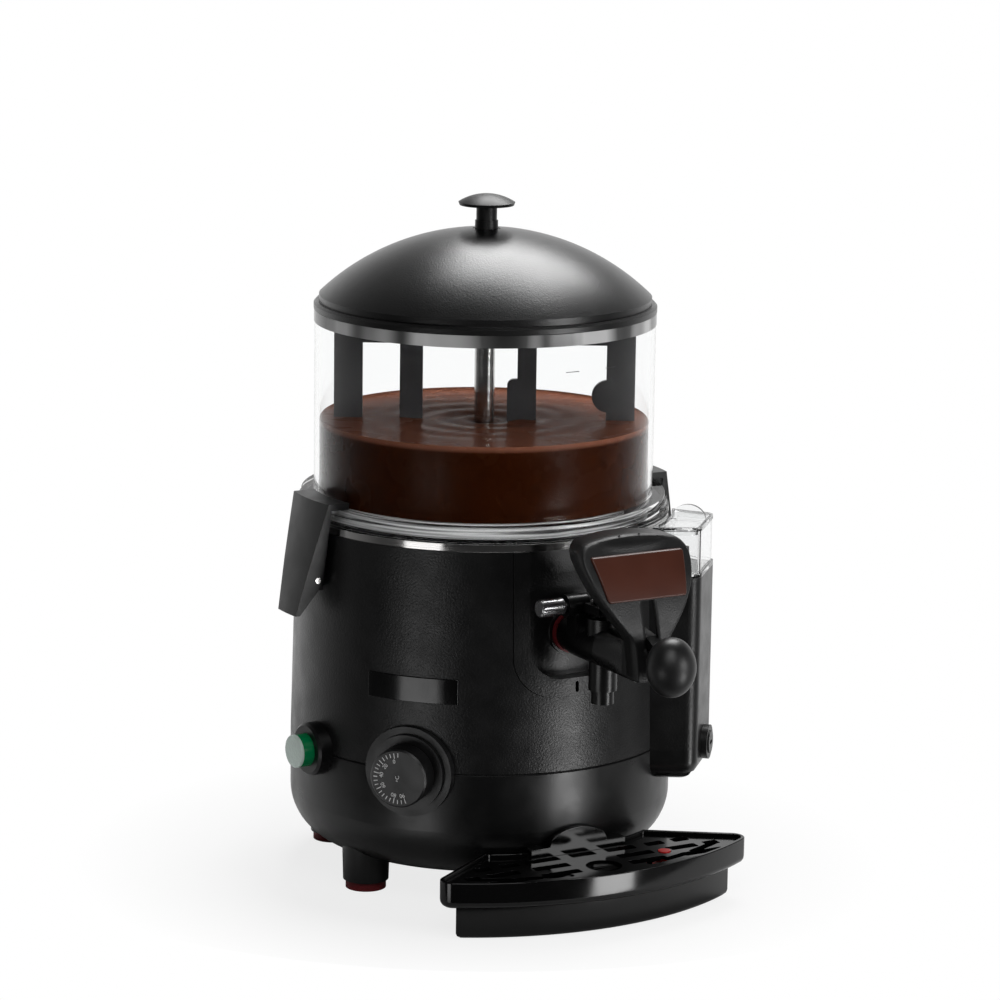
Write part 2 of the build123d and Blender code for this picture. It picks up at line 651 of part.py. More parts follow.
with BuildPart() as base_shell:
    with BuildSketch(turned()):
        with BuildLine():
            Line((0, BASE_Z), (SEAM_RADIUS - BASE_CORNER, BASE_Z))
            RadiusArc(
                (SEAM_RADIUS - BASE_CORNER, BASE_Z), (SEAM_RADIUS, BASE_Z + BASE_CORNER), -BASE_CORNER
            )
            Line((SEAM_RADIUS, BASE_Z + BASE_CORNER), (SEAM_RADIUS, SEAM_Z - SEAM_CHAMFER))
            Line((SEAM_RADIUS, SEAM_Z - SEAM_CHAMFER), (SEAM_RADIUS - SEAM_CHAMFER, SEAM_Z))
            Line((SEAM_RADIUS - SEAM_CHAMFER, SEAM_Z), (0, SEAM_Z))
            Line((0, SEAM_Z), (0, BASE_Z))
        make_face()
    revolve(axis=AXIS)
    for leg in LEGS:
        with BuildSketch(level(FOOT_HEIGHT)):
            with Locations(leg):
                Circle(LEG_FOOT_DIAMETER / 2)
        with BuildSketch(level(LEG_TOP_Z)):
            with Locations(leg):
                Circle(LEG_TOP_DIAMETER / 2)
        loft()
    add(lower_box.part)
    add(CAVITY, mode=Mode.SUBTRACT)
    with BuildSketch(level(BASE_Z)):
        Circle(COVER_OPENING_RADIUS)
    extrude(amount=SHELL_WALL, mode=Mode.SUBTRACT)
    with BuildSketch(level(BASE_Z)):
        with PolarLocations(COVER_SCREW_REACH, COVER_SCREW_COUNT, COVER_SCREW_START):
            Circle(COVER_SCREW_RADIUS + RUN_GAP)
    extrude(amount=SHELL_WALL, mode=Mode.SUBTRACT)
    round_hole(DIAL, DIAL_BOSS_RADIUS + FIT_GAP, DIAL_BOSS_BACK, FAR)
    round_hole(SWITCH, SWITCH_BODY_RADIUS + FIT_GAP, DIAL_BOSS_BACK, FAR)
    round_hole(DRAIN, DRAIN_SPIGOT_RADIUS + FIT_GAP, BOX_REACH - 2 * BOX_WALL, FAR)
    round_hole(GLAND, GLAND_SPIGOT_RADIUS + FIT_GAP, DIAL_BOSS_BACK, FAR)
save(base_shell, "base_shell")

with BuildPart() as feet:
    for leg in LEGS:
        with BuildSketch(level(0)):
            with Locations(leg):
                Circle(FOOT_DIAMETER / 2)
        extrude(amount=FOOT_HEIGHT)
save(feet, "feet")

with BuildPart() as bottom_cover:
    with BuildSketch(level(BASE_Z - COVER_THICKNESS)):
        Circle(COVER_RADIUS)
        with PolarLocations(COVER_SCREW_REACH, COVER_SCREW_COUNT, COVER_SCREW_START):
            Circle(COVER_SCREW_RADIUS + RUN_GAP, mode=Mode.SUBTRACT)
    extrude(amount=COVER_THICKNESS)
save(bottom_cover, "bottom_cover")

with BuildPart() as bottom_screws:
    with BuildSketch(level(BASE_Z - COVER_THICKNESS - COVER_SCREW_HEAD_HEIGHT)):
        with PolarLocations(COVER_SCREW_REACH, COVER_SCREW_COUNT, COVER_SCREW_START):
            Circle(COVER_SCREW_HEAD_RADIUS)
    extrude(amount=COVER_SCREW_HEAD_HEIGHT)
    with BuildSketch(level(BASE_Z - COVER_THICKNESS)):
        with PolarLocations(COVER_SCREW_REACH, COVER_SCREW_COUNT, COVER_SCREW_START):
            Circle(COVER_SCREW_RADIUS)
    extrude(amount=COVER_THICKNESS + SHELL_WALL)
save(bottom_screws, "bottom_screws")


# Upper shell with the water box and the opening for the bezel
def bezel_outline(sketch, inset_sides, inset_bottom):
    """Draws the outline around the tap, open upwards, taken in at its sides and bottom."""
    bottom = BEZEL_BOTTOM_Z + inset_bottom
    half = BEZEL_HALF_WIDTH - inset_sides
    with Locations((0, (bottom + FAR) / 2)):
        Rectangle(2 * half, FAR - bottom)
    fillet(sketch.vertices().sort_by(Axis.Y)[:2], BEZEL_CORNER - inset_sides / 2)


with BuildPart() as upper_box:
    add(box_block(0, SEAM_Z, BOX_TOP_Z, SHELL_WALL / 2))
    add(box_block(BOX_WALL, SEAM_Z, BOX_TOP_Z, 0), mode=Mode.SUBTRACT)

with BuildPart() as upper_shell:
    with BuildSketch(turned()):
        ring_face(
            (0, SEAM_Z),
            (SEAM_RADIUS - SEAM_CHAMFER, SEAM_Z),
            (body_radius(SEAM_Z + SEAM_CHAMFER), SEAM_Z + SEAM_CHAMFER),
            (BODY_TOP_RADIUS, BODY_TOP_Z),
            (0, BODY_TOP_Z),
        )
    revolve(axis=AXIS)
    add(upper_box.part)
    with BuildSketch(turned()):
        ring_face(
            (0, SEAM_Z),
            (SEAM_RADIUS - SHELL_WALL, SEAM_Z),
            (body_radius(BODY_TOP_Z - SHELL_WALL) - SHELL_WALL, BODY_TOP_Z - SHELL_WALL),
            (BODY_TOP_RADIUS - SHELL_WALL - LIP_WIDTH, BODY_TOP_Z - SHELL_WALL),
            (BODY_TOP_RADIUS - SHELL_WALL - LIP_WIDTH, BODY_TOP_Z),
            (0, BODY_TOP_Z),
        )
    revolve(axis=AXIS, mode=Mode.SUBTRACT)
    with BuildSketch(facing(0, 0, 0)) as outline:
        bezel_outline(outline, 0, 0)
    extrude(amount=FAR, mode=Mode.SUBTRACT)
    round_hole(DIAL, DIAL_BOSS_RADIUS + FIT_GAP, DIAL_BOSS_BACK, FAR)
    round_hole(SWITCH, SWITCH_BODY_RADIUS + FIT_GAP, DIAL_BOSS_BACK, FAR)
    round_hole(DRAIN, DRAIN_SPIGOT_RADIUS + FIT_GAP, BOX_REACH - 2 * BOX_WALL, FAR)
save(upper_shell, "upper_shell")

# Bezel: a band level with the shell around a set-back floor
with BuildPart() as bezel_pocket:
    with BuildSketch(facing(0, 0, 0)) as outline:
        bezel_outline(outline, BEZEL_BAND, BEZEL_BAND_BOTTOM)
    extrude(amount=FAR)
    with BuildSketch(level(0)):
        Circle(FLOOR_RADIUS)
    extrude(amount=FAR, mode=Mode.SUBTRACT)

with BuildPart() as bezel_back:
    with BuildSketch(level(BEZEL_BOTTOM_Z - BEZEL_BAND)):
        Circle(BODY_TOP_RADIUS - SHELL_WALL)
    extrude(amount=FAR)
    with BuildSketch(facing(0, 0, 0)) as outline:
        bezel_outline(outline, BEZEL_BAND - BEZEL_WALL, BEZEL_BAND_BOTTOM - BEZEL_WALL)
    extrude(amount=FAR, mode=Mode.SUBTRACT)

with BuildPart() as tap_bezel:
    with BuildSketch(turned()):
        ring_face(
            (FLOOR_RADIUS - BEZEL_WALL, BEZEL_BOTTOM_Z),
            (body_radius(BEZEL_BOTTOM_Z) + BEZEL_PROUD, BEZEL_BOTTOM_Z),
            (BODY_TOP_RADIUS + BEZEL_PROUD, BODY_TOP_Z),
            (FLOOR_RADIUS - BEZEL_WALL, BODY_TOP_Z),
        )
    revolve(axis=AXIS)
    with BuildSketch(facing(0, 0, 0)) as outline:
        bezel_outline(outline, FIT_GAP, FIT_GAP)
    extrude(amount=FAR, mode=Mode.INTERSECT)
    add(bezel_pocket.part, mode=Mode.SUBTRACT)
    add(bezel_back.part, mode=Mode.SUBTRACT)
    round_post(TAP, PAD_RADIUS, FLOOR_RADIUS - BEZEL_WALL, PAD_FRONT)
    round_hole(TAP, PIPE_RADIUS + FIT_GAP, BATH_RADIUS, FAR)
    slot_z = BEZEL_BOTTOM_Z + BEZEL_BAND_BOTTOM / 2
    with BuildSketch(facing(0, 0, slot_z)):
        SlotOverall(BEZEL_BAND_BOTTOM - 2 * BEZEL_WALL, BEZEL_WALL, rotation=90)
    extrude(amount=FAR, mode=Mode.SUBTRACT)
save(tap_bezel, "tap_bezel")

# Bare plate over the dial
plate_half_angle = degrees(PLATE_LENGTH / 2 / body_radius(PLATE_Z))
plate_low = PLATE_Z - PLATE_HEIGHT / 2
plate_high = PLATE_Z + PLATE_HEIGHT / 2
with BuildPart() as nameplate:
    with BuildSketch(turned(PLATE_ANGLE - plate_half_angle)):
        ring_face(
            (body_radius(plate_low), plate_low),
            (body_radius(plate_low) + PLATE_THICKNESS, plate_low),
            (body_radius(plate_high) + PLATE_THICKNESS, plate_high),
            (body_radius(plate_high), plate_high),
        )
    revolve(axis=AXIS, revolution_arc=2 * plate_half_angle)
save(nameplate, "nameplate")

# Steel ring, pots, gasket and outlet
POT_FLANGE_Z = BODY_TOP_Z + FLANGE_SHEET
GASKET_Z = POT_FLANGE_Z + FLANGE_SHEET
COLUMN_HOLE = COLUMN_RADIUS + RUN_GAP
with BuildPart() as top_ring:
    with BuildSketch(turned()):
        ring_face(
            (RING_INNER, BODY_TOP_Z),
            (RING_RADIUS, BODY_TOP_Z),
            (RING_RADIUS, BOWL_FOOT_Z),
            (RING_INNER, BOWL_FOOT_Z),
        )
    revolve(axis=AXIS)
save(top_ring, "top_ring")


def pot(radius, floor_z, flange_z):
    """Sheet pot with a flange, a hole for the column and a hole for the outlet."""
    with BuildPart() as sheet:
        with BuildSketch(turned()):
            ring_face(
                (COLUMN_HOLE, floor_z),
                (radius, floor_z),
                (radius, flange_z),
                (FLANGE_RADIUS, flange_z),
                (FLANGE_RADIUS, flange_z + FLANGE_SHEET),
                (radius - POT_SHEET, flange_z + FLANGE_SHEET),
                (radius - POT_SHEET, floor_z + POT_SHEET),
                (COLUMN_HOLE, floor_z + POT_SHEET),
            )
        revolve(axis=AXIS)
        round_hole(TAP, PIPE_RADIUS + RUN_GAP, 0, FAR)
    return sheet


bath_pot = pot(BATH_RADIUS, BATH_FLOOR_Z, BODY_TOP_Z)
save(bath_pot, "bath_pot")
inner_pot = pot(POT_RADIUS, POT_FLOOR_Z, POT_FLANGE_Z)
save(inner_pot, "inner_pot")

with BuildPart() as outlet_pipe:
    round_post(TAP, PIPE_RADIUS, POT_RADIUS - POT_SHEET, SEAL_FRONT + PIPE_SOCKET)
    round_hole(TAP, PIPE_BORE, 0, FAR)
save(outlet_pipe, "outlet_pipe")

with BuildPart() as bowl_gasket:
    with BuildSketch(level(GASKET_Z)):
        Circle(FLANGE_RADIUS)
        Circle(FLANGE_RADIUS - GASKET_WIDTH, mode=Mode.SUBTRACT)
    extrude(amount=BOWL_FOOT_Z - GASKET_Z)
save(bowl_gasket, "bowl_gasket")

# Heater and stirring gear under the pots
with BuildPart() as heater_ring:
    with BuildSketch(level(BATH_FLOOR_Z - HEATER_THICKNESS)):
        Circle(HEATER_RADIUS)
        Circle(HEATER_RADIUS - HEATER_WIDTH, mode=Mode.SUBTRACT)
    extrude(amount=HEATER_THICKNESS)
save(heater_ring, "heater_ring")

BRACKET_Z = BATH_FLOOR_Z - BRACKET_DROP
MOTOR_SCREWS = [
    (MOTOR_SCREW_REACH, 0), (-MOTOR_SCREW_REACH, 0), (0, MOTOR_SCREW_REACH), (0, -MOTOR_SCREW_REACH)
]
with BuildPart() as motor_bracket:
    with BuildSketch(level(BRACKET_Z)):
        Rectangle(BRACKET_LENGTH, BRACKET_WIDTH)
        Circle(COLUMN_RADIUS + FIT_GAP, mode=Mode.SUBTRACT)
        with Locations(*MOTOR_SCREWS):
            Circle(MOTOR_SCREW_RADIUS + RUN_GAP, mode=Mode.SUBTRACT)
    extrude(amount=BRACKET_SHEET)
    for end in (-1, 1):
        with BuildSketch(level(BRACKET_Z + BRACKET_SHEET)):
            with Locations((end * (BRACKET_LENGTH - BRACKET_SHEET) / 2, 0)):
                Rectangle(BRACKET_SHEET, BRACKET_WIDTH)
        extrude(amount=BRACKET_DROP - BRACKET_SHEET)
save(motor_bracket, "motor_bracket")

SHAFT_FOOT_Z = BRACKET_Z - SHAFT_ENGAGEMENT
with BuildPart() as gear_motor:
    with BuildSketch(level(BRACKET_Z - GEARBOX_HEIGHT)):
        Circle(GEARBOX_RADIUS)
    extrude(amount=GEARBOX_HEIGHT)
    with BuildSketch(level(BRACKET_Z - GEARBOX_HEIGHT - MOTOR_HEIGHT)):
        Circle(MOTOR_RADIUS)
    extrude(amount=MOTOR_HEIGHT)
    with BuildSketch(level(SHAFT_FOOT_Z)):
        Circle(SHAFT_RADIUS + RUN_GAP)
    extrude(amount=SHAFT_ENGAGEMENT, mode=Mode.SUBTRACT)
    with BuildSketch(level(BRACKET_Z - MOTOR_SCREW_LENGTH)):
        with Locations(*MOTOR_SCREWS):
            Circle(MOTOR_SCREW_RADIUS + RUN_GAP)
    extrude(amount=MOTOR_SCREW_LENGTH, mode=Mode.SUBTRACT)
save(gear_motor, "gear_motor")

MOTOR_SCREW_TOP = BRACKET_Z + BRACKET_SHEET
with BuildPart() as motor_screws:
    with BuildSketch(level(MOTOR_SCREW_TOP)):
        with Locations(*MOTOR_SCREWS):
            Circle(MOTOR_SCREW_HEAD_RADIUS)
    extrude(amount=MOTOR_SCREW_HEAD_HEIGHT)
    with BuildSketch(level(MOTOR_SCREW_TOP)):
        with Locations(*MOTOR_SCREWS):
            Circle(MOTOR_SCREW_RADIUS)
    extrude(amount=-(BRACKET_SHEET + MOTOR_SCREW_LENGTH))
save(motor_screws, "motor_screws")

with BuildPart() as shaft_column:
    with BuildSketch(turned()):
        ring_face(
            (SHAFT_RADIUS + RUN_GAP, BRACKET_Z + BRACKET_SHEET),
            (COLUMN_RADIUS, BRACKET_Z + BRACKET_SHEET),
            (COLUMN_RADIUS, POT_INSIDE_Z),
            (COLUMN_COLLAR_RADIUS, POT_INSIDE_Z),
            (COLUMN_COLLAR_RADIUS, POT_INSIDE_Z + COLUMN_COLLAR_HEIGHT),
            (COLUMN_RADIUS, POT_INSIDE_Z + COLUMN_COLLAR_HEIGHT),
            (COLUMN_RADIUS, COLUMN_TOP_Z),
            (SHAFT_RADIUS + RUN_GAP, COLUMN_TOP_Z),
        )
    revolve(axis=AXIS)
save(shaft_column, "shaft_column")

HUB_Z = COLUMN_TOP_Z + SWEEP_GAP
HUB_TOP_Z = HUB_Z + STIR_HUB_HEIGHT
with BuildPart() as drive_shaft:
    with BuildSketch(level(SHAFT_FOOT_Z)):
        Circle(SHAFT_RADIUS)
    extrude(amount=HUB_TOP_Z - SHAFT_FOOT_Z)
save(drive_shaft, "drive_shaft")

# Stirrer: a flat frame of four blades from an arm over the column
ARM_TOP_Z = HUB_Z + STIR_ARM_HEIGHT
with BuildPart() as stirrer:
    with BuildSketch(turned(STIR_ANGLE)) as frame_sketch:
        ring_face(
            (-BLADE_OUTER_REACH, HUB_Z),
            (-BLADE_OUTER_REACH, ARM_TOP_Z),
            (BLADE_OUTER_REACH, ARM_TOP_Z),
            (BLADE_OUTER_REACH, HUB_Z),
        )
        for start, width in (
            (-BLADE_OUTER_REACH, BLADE_OUTER_WIDTH),
            (-BLADE_MIDDLE_REACH, BLADE_MIDDLE_WIDTH),
            (BLADE_INNER_REACH - BLADE_NECK_WIDTH, BLADE_NECK_WIDTH),
            (BLADE_OUTER_REACH - BLADE_OUTER_WIDTH, BLADE_OUTER_WIDTH),
        ):
            ring_face(
                (start, BLADE_FOOT_Z),
                (start + width, BLADE_FOOT_Z),
                (start + width, ARM_TOP_Z),
                (start, ARM_TOP_Z),
            )
        inner_start = BLADE_INNER_REACH - BLADE_INNER_WIDTH
        ring_face(
            (inner_start, BLADE_FOOT_Z),
            (BLADE_INNER_REACH, BLADE_FOOT_Z),
            (BLADE_INNER_REACH, BLADE_STEP_Z),
            (inner_start, BLADE_STEP_Z),
        )
        with Locations((LOBE_REACH, LOBE_Z)):
            Circle(LOBE_RADIUS)
        step_corner = (inner_start, BLADE_STEP_Z)
        near_step = frame_sketch.vertices().sort_by(
            lambda v: abs(v.X - step_corner[0]) + abs(v.Y - step_corner[1])
        )
        fillet(near_step[0], BLADE_STEP_ROUND)
    extrude(amount=STIR_THICKNESS / 2, both=True)
    with BuildSketch(level(HUB_Z)):
        Circle(STIR_HUB_RADIUS)
    extrude(amount=STIR_HUB_HEIGHT)
    with BuildSketch(level(HUB_Z)):
        Circle(SHAFT_RADIUS + RUN_GAP)
    extrude(amount=STIR_HUB_HEIGHT, mode=Mode.SUBTRACT)
save(stirrer, "stirrer")

# Clear bowl with a ringed flange
third = BOWL_FLANGE_HEIGHT / 3
with BuildPart() as bowl:
    with BuildSketch(turned()):
        ring_face(
            (BOWL_INNER, BOWL_FOOT_Z),
            (BOWL_FLANGE_RADIUS, BOWL_FOOT_Z),
            (BOWL_FLANGE_RADIUS, BOWL_FOOT_Z + third),
            (BOWL_FLANGE_RADIUS - BOWL_FLANGE_STEP, BOWL_FOOT_Z + third),
            (BOWL_FLANGE_RADIUS - BOWL_FLANGE_STEP, BOWL_FOOT_Z + 2 * third),
            (BOWL_FLANGE_RADIUS - 2 * BOWL_FLANGE_STEP, BOWL_FOOT_Z + 2 * third),
            (BOWL_FLANGE_RADIUS - 2 * BOWL_FLANGE_STEP, FLANGE_TOP_Z),
            (BOWL_RADIUS, FLANGE_TOP_Z),
            (BOWL_RADIUS, BOWL_TOP_Z),
            (BOWL_INNER, BOWL_TOP_Z),
        )
    revolve(axis=AXIS)
save(bowl, "bowl")

# Domed lid with its knob and screw
RIM_SOFT = LID_RIM_HEIGHT / 4
with BuildPart() as lid:
    with BuildSketch(turned()):
        with BuildLine():
            dome_out = ThreePointArc(
                (LID_DOME_RADIUS, BOWL_TOP_Z + LID_DOME_FOOT),
                (LID_MID_RADIUS, BOWL_TOP_Z + LID_MID_RISE),
                (0, LID_TOP_Z),
            )
            Polyline(
                (0, LID_TOP_Z),
                (0, LID_TOP_Z - LID_WALL),
            )
            ThreePointArc(
                (0, LID_TOP_Z - LID_WALL),
                (LID_MID_RADIUS - LID_WALL / 2, BOWL_TOP_Z + LID_MID_RISE - LID_WALL),
                (LID_SKIRT_RADIUS - LID_WALL, BOWL_TOP_Z + LID_DOME_FOOT - LID_WALL / 2),
            )
            Polyline(
                (LID_SKIRT_RADIUS - LID_WALL, BOWL_TOP_Z + LID_DOME_FOOT - LID_WALL / 2),
                (LID_SKIRT_RADIUS - LID_WALL, BOWL_TOP_Z - LID_SKIRT_DROP),
                (LID_SKIRT_RADIUS, BOWL_TOP_Z - LID_SKIRT_DROP),
                (LID_SKIRT_RADIUS, BOWL_TOP_Z),
                (LID_RIM_RADIUS - RIM_SOFT, BOWL_TOP_Z),
                (LID_RIM_RADIUS, BOWL_TOP_Z + RIM_SOFT),
                (LID_RIM_RADIUS, BOWL_TOP_Z + LID_RIM_HEIGHT - RIM_SOFT),
                (LID_RIM_RADIUS - RIM_SOFT, BOWL_TOP_Z + LID_RIM_HEIGHT),
                (LID_DOME_RADIUS, BOWL_TOP_Z + LID_RIM_HEIGHT),
                (LID_DOME_RADIUS, BOWL_TOP_Z + LID_DOME_FOOT),
            )
        make_face()
    revolve(axis=AXIS)
    with BuildSketch(level(LID_TOP_Z)):
        Circle(LID_SEAT_RADIUS)
    extrude(amount=-LID_WALL / 4, mode=Mode.SUBTRACT)
    with BuildSketch(level(LID_TOP_Z)):
        Circle(KNOB_SCREW_RADIUS + RUN_GAP)
    extrude(amount=-2 * LID_WALL, mode=Mode.SUBTRACT)
    with BuildSketch(level(LID_TOP_Z - LID_WALL)):
        Circle(LID_SEAT_RADIUS)
    extrude(amount=-LID_WALL, mode=Mode.SUBTRACT)
save(lid, "lid")

KNOB_Z = LID_TOP_Z - LID_WALL / 4
KNOB_UNDER_Z = KNOB_Z + KNOB_STEM_HEIGHT
KNOB_TOP_Z = KNOB_UNDER_Z + KNOB_CAP_HEIGHT
KNOB_EDGE_Z = KNOB_UNDER_Z + KNOB_CAP_HEIGHT / 3
knob_crown = KNOB_TOP_Z - KNOB_EDGE_Z
knob_arc = (KNOB_RADIUS**2 + knob_crown**2) / (2 * knob_crown)
with BuildPart() as lid_knob:
    with BuildSketch(turned()):
        with BuildLine():
            Polyline(
                (0, KNOB_Z),
                (KNOB_STEM_RADIUS + KNOB_GROOVE_DEPTH, KNOB_Z),
                (KNOB_STEM_RADIUS + KNOB_GROOVE_DEPTH, KNOB_Z + KNOB_GROOVE_HEIGHT),
                (KNOB_STEM_RADIUS, KNOB_Z + KNOB_GROOVE_HEIGHT),
                (KNOB_STEM_RADIUS, KNOB_UNDER_Z),
                (KNOB_RADIUS - KNOB_GROOVE_DEPTH, KNOB_UNDER_Z + KNOB_GROOVE_DEPTH),
                (KNOB_RADIUS, KNOB_EDGE_Z),
            )
            RadiusArc((KNOB_RADIUS, KNOB_EDGE_Z), (0, KNOB_TOP_Z), -knob_arc)
            Line((0, KNOB_TOP_Z), (0, KNOB_Z))
        make_face()
    revolve(axis=AXIS)
    with BuildSketch(level(KNOB_Z)):
        Circle(KNOB_SCREW_RADIUS + RUN_GAP)
    extrude(amount=KNOB_SCREW_LENGTH, mode=Mode.SUBTRACT)
save(lid_knob, "lid_knob")

SCREW_SEAT_Z = LID_TOP_Z - LID_WALL
with BuildPart() as knob_screw:
    with BuildSketch(level(SCREW_SEAT_Z)):
        Circle(KNOB_SCREW_HEAD_RADIUS)
    extrude(amount=-KNOB_SCREW_HEAD_HEIGHT)
    with BuildSketch(level(SCREW_SEAT_Z)):
        Circle(KNOB_SCREW_RADIUS)
    extrude(amount=KNOB_Z + KNOB_SCREW_LENGTH - SCREW_SEAT_Z - RUN_GAP)
save(knob_screw, "knob_screw")

# Clips on both sides
HOOK_Z = FLANGE_TOP_Z + CLIP_HOOK_GAP
CLIP_TOP_Z = HOOK_Z + CLIP_HOOK_THICKNESS
CLIP_HALF_ANGLE = degrees(asin(CLIP_TOP_HALF / CLIP_CHEEK_REACH)) + 2


def clip_half(z):
    """Half width of a clip at a height."""
    return CLIP_LIP_HALF + (CLIP_TOP_HALF - CLIP_LIP_HALF) * (z - CLIP_LIP_Z) / (CLIP_TOP_Z - CLIP_LIP_Z)


def clip_outline(angle, inset, low, high):
    """Cuts the part in hand to the tapering front of a clip, taken in by an inset."""
    with BuildSketch(facing(angle, 0, 0)) as outline:
        ring_face(
            (-clip_half(low) + inset, low),
            (clip_half(low) - inset, low),
            (clip_half(high) - inset, high),
            (-clip_half(high) + inset, high),
        )
    extrude(outline.sketch, amount=FAR, mode=Mode.INTERSECT)


def clip(angle):
    """A clip: a plate that hooks over the bowl's flange, with two cheeks on a pin."""
    inner_lip = CLIP_LIP_REACH - CLIP_PLATE
    with BuildPart() as pocket:
        with BuildSketch(turned(angle - CLIP_HALF_ANGLE)):
            ring_face(
                (CLIP_HOOK_REACH, CLIP_CHEEK_Z - CLIP_PLATE),
                (inner_lip, CLIP_LIP_Z),
                (CLIP_BEND_REACH - CLIP_PLATE, CLIP_BEND_Z),
                (CLIP_TOP_REACH - CLIP_PLATE, HOOK_Z),
                (CLIP_HOOK_REACH, HOOK_Z),
            )
        revolve(axis=AXIS, revolution_arc=2 * CLIP_HALF_ANGLE)
        clip_outline(angle, CLIP_CHEEK, CLIP_LIP_Z - CLIP_PLATE, HOOK_Z)
    with BuildPart() as body:
        with BuildSketch(turned(angle - CLIP_HALF_ANGLE)):
            ring_face(
                (CLIP_HOOK_REACH, HOOK_Z),
                (CLIP_CHEEK_REACH, HOOK_Z),
                (CLIP_CHEEK_REACH, CLIP_CHEEK_Z),
                (CLIP_PIN_REACH, CLIP_CHEEK_Z),
                (inner_lip, CLIP_LIP_Z),
                (CLIP_LIP_REACH, CLIP_LIP_Z),
                (CLIP_BEND_REACH, CLIP_BEND_Z),
                (CLIP_TOP_REACH, CLIP_TOP_Z),
                (CLIP_HOOK_REACH, CLIP_TOP_Z),
            )
        revolve(axis=AXIS, revolution_arc=2 * CLIP_HALF_ANGLE)
        clip_outline(angle, 0, CLIP_LIP_Z, CLIP_TOP_Z)
        add(pocket.part, mode=Mode.SUBTRACT)
        pin_hole(angle)
    return body


def pin_plane(angle):
    """Upright plane through the axis that a clip's pin stands square on, at the pin's middle."""
    a = radians(angle)
    return Plane(
        origin=(CLIP_PIN_REACH * sin(a), AXIS_Y - CLIP_PIN_REACH * cos(a), CLIP_PIN_Z),
        x_dir=(sin(a), -cos(a), 0),
        z_dir=(-cos(a), -sin(a), 0),
    )


def pin_hole(angle):
    """Bores the part in hand for a clip's pin."""
    with BuildSketch(pin_plane(angle)) as profile:
        Circle(CLIP_PIN_RADIUS + RUN_GAP)
    extrude(profile.sketch, amount=CLIP_TOP_HALF, both=True, mode=Mode.SUBTRACT)


clip_left = clip(-CLIP_ANGLE)
save(clip_left, "clip_left")
clip_right = clip(CLIP_ANGLE)
save(clip_right, "clip_right")

BRACKET_HALF = clip_half(CLIP_CHEEK_Z) - CLIP_CHEEK - SLIDE_GAP
with BuildPart() as clip_brackets:
    for angle in (-CLIP_ANGLE, CLIP_ANGLE):
        with BuildSketch(pin_plane(angle)):
            Circle(BRACKET_EYE_RADIUS)
            with Locations((-BRACKET_EYE_RADIUS, 0)):
                Rectangle(2 * BRACKET_EYE_RADIUS, 2 * BRACKET_EYE_RADIUS)
        extrude(amount=BRACKET_HALF, both=True)
    add(CORE, mode=Mode.SUBTRACT)
    for angle in (-CLIP_ANGLE, CLIP_ANGLE):
        pin_hole(angle)
save(clip_brackets, "clip_brackets")

with BuildPart() as clip_pins:
    for angle in (-CLIP_ANGLE, CLIP_ANGLE):
        with BuildSketch(pin_plane(angle)):
            Circle(CLIP_PIN_RADIUS)
        extrude(amount=clip_half(CLIP_PIN_Z), both=True)
save(clip_pins, "clip_pins")

# Thermostat with its collar, spindle and knob
with BuildPart() as dial_collar:
    round_post(DIAL, DIAL_COLLAR_RADIUS, SEAM_RADIUS - DIAL_BOSS_RADIUS, DIAL_COLLAR_FRONT)
    round_post(DIAL, DIAL_STEP_RADIUS, SEAM_RADIUS - DIAL_BOSS_RADIUS, DIAL_STEP_FRONT)
    add(CORE, mode=Mode.SUBTRACT)
    round_post(DIAL, DIAL_BOSS_RADIUS, DIAL_BOSS_BACK, DIAL_COLLAR_FRONT)
    round_hole(DIAL, SPINDLE_RADIUS + FIT_GAP, 0, FAR)
save(dial_collar, "dial_collar")

with BuildPart() as thermostat_body:
    round_post(DIAL, THERMOSTAT_RADIUS, DIAL_BOSS_BACK - THERMOSTAT_DEPTH, DIAL_BOSS_BACK)
    round_hole(DIAL, SPINDLE_RADIUS + RUN_GAP, DIAL_BOSS_BACK - SPINDLE_GRIP, DIAL_BOSS_BACK)
save(thermostat_body, "thermostat_body")

BULB = facing(DIAL_ANGLE, 0, BATH_FLOOR_Z - HEATER_THICKNESS - BULB_RADIUS)
BULB_END = HEATER_RADIUS
with BuildPart() as thermostat_bulb:
    round_post(BULB, BULB_RADIUS, BULB_END - BULB_LENGTH, BULB_END)
save(thermostat_bulb, "thermostat_bulb")

KNOB_BACK = DIAL_STEP_FRONT + SLIDE_GAP
KNOB_SOCKET = KNOB_BACK + SPINDLE_GRIP
with BuildPart() as knob_spindle:
    round_post(DIAL, SPINDLE_RADIUS, DIAL_BOSS_BACK - SPINDLE_GRIP + RUN_GAP, KNOB_SOCKET)
save(knob_spindle, "knob_spindle")

with BuildPart() as thermostat_knob:
    with BuildSketch(DIAL.offset(KNOB_BACK)):
        Circle(DIAL_KNOB_RADIUS)
    extrude(amount=DIAL_KNOB_FRONT - KNOB_BACK)
    chamfer(front_edge(thermostat_knob, DIAL), DIAL_KNOB_CHAMFER)
    round_hole(DIAL, SPINDLE_RADIUS + RUN_GAP, KNOB_BACK, KNOB_SOCKET)
save(thermostat_knob, "thermostat_knob")

# Lit switch
with BuildPart() as switch_collar:
    round_post(SWITCH, SWITCH_COLLAR_RADIUS, SEAM_RADIUS - SWITCH_BODY_RADIUS, SWITCH_COLLAR_FRONT)
    chamfer(front_edge(switch_collar, SWITCH), (SWITCH_COLLAR_RADIUS - BUTTON_RADIUS) / 4)
    add(CORE, mode=Mode.SUBTRACT)
    round_hole(SWITCH, SWITCH_BODY_RADIUS + RUN_GAP, 0, SWITCH_BODY_FRONT)
    round_hole(SWITCH, BUTTON_RADIUS + FIT_GAP, 0, FAR)
save(switch_collar, "switch_collar")

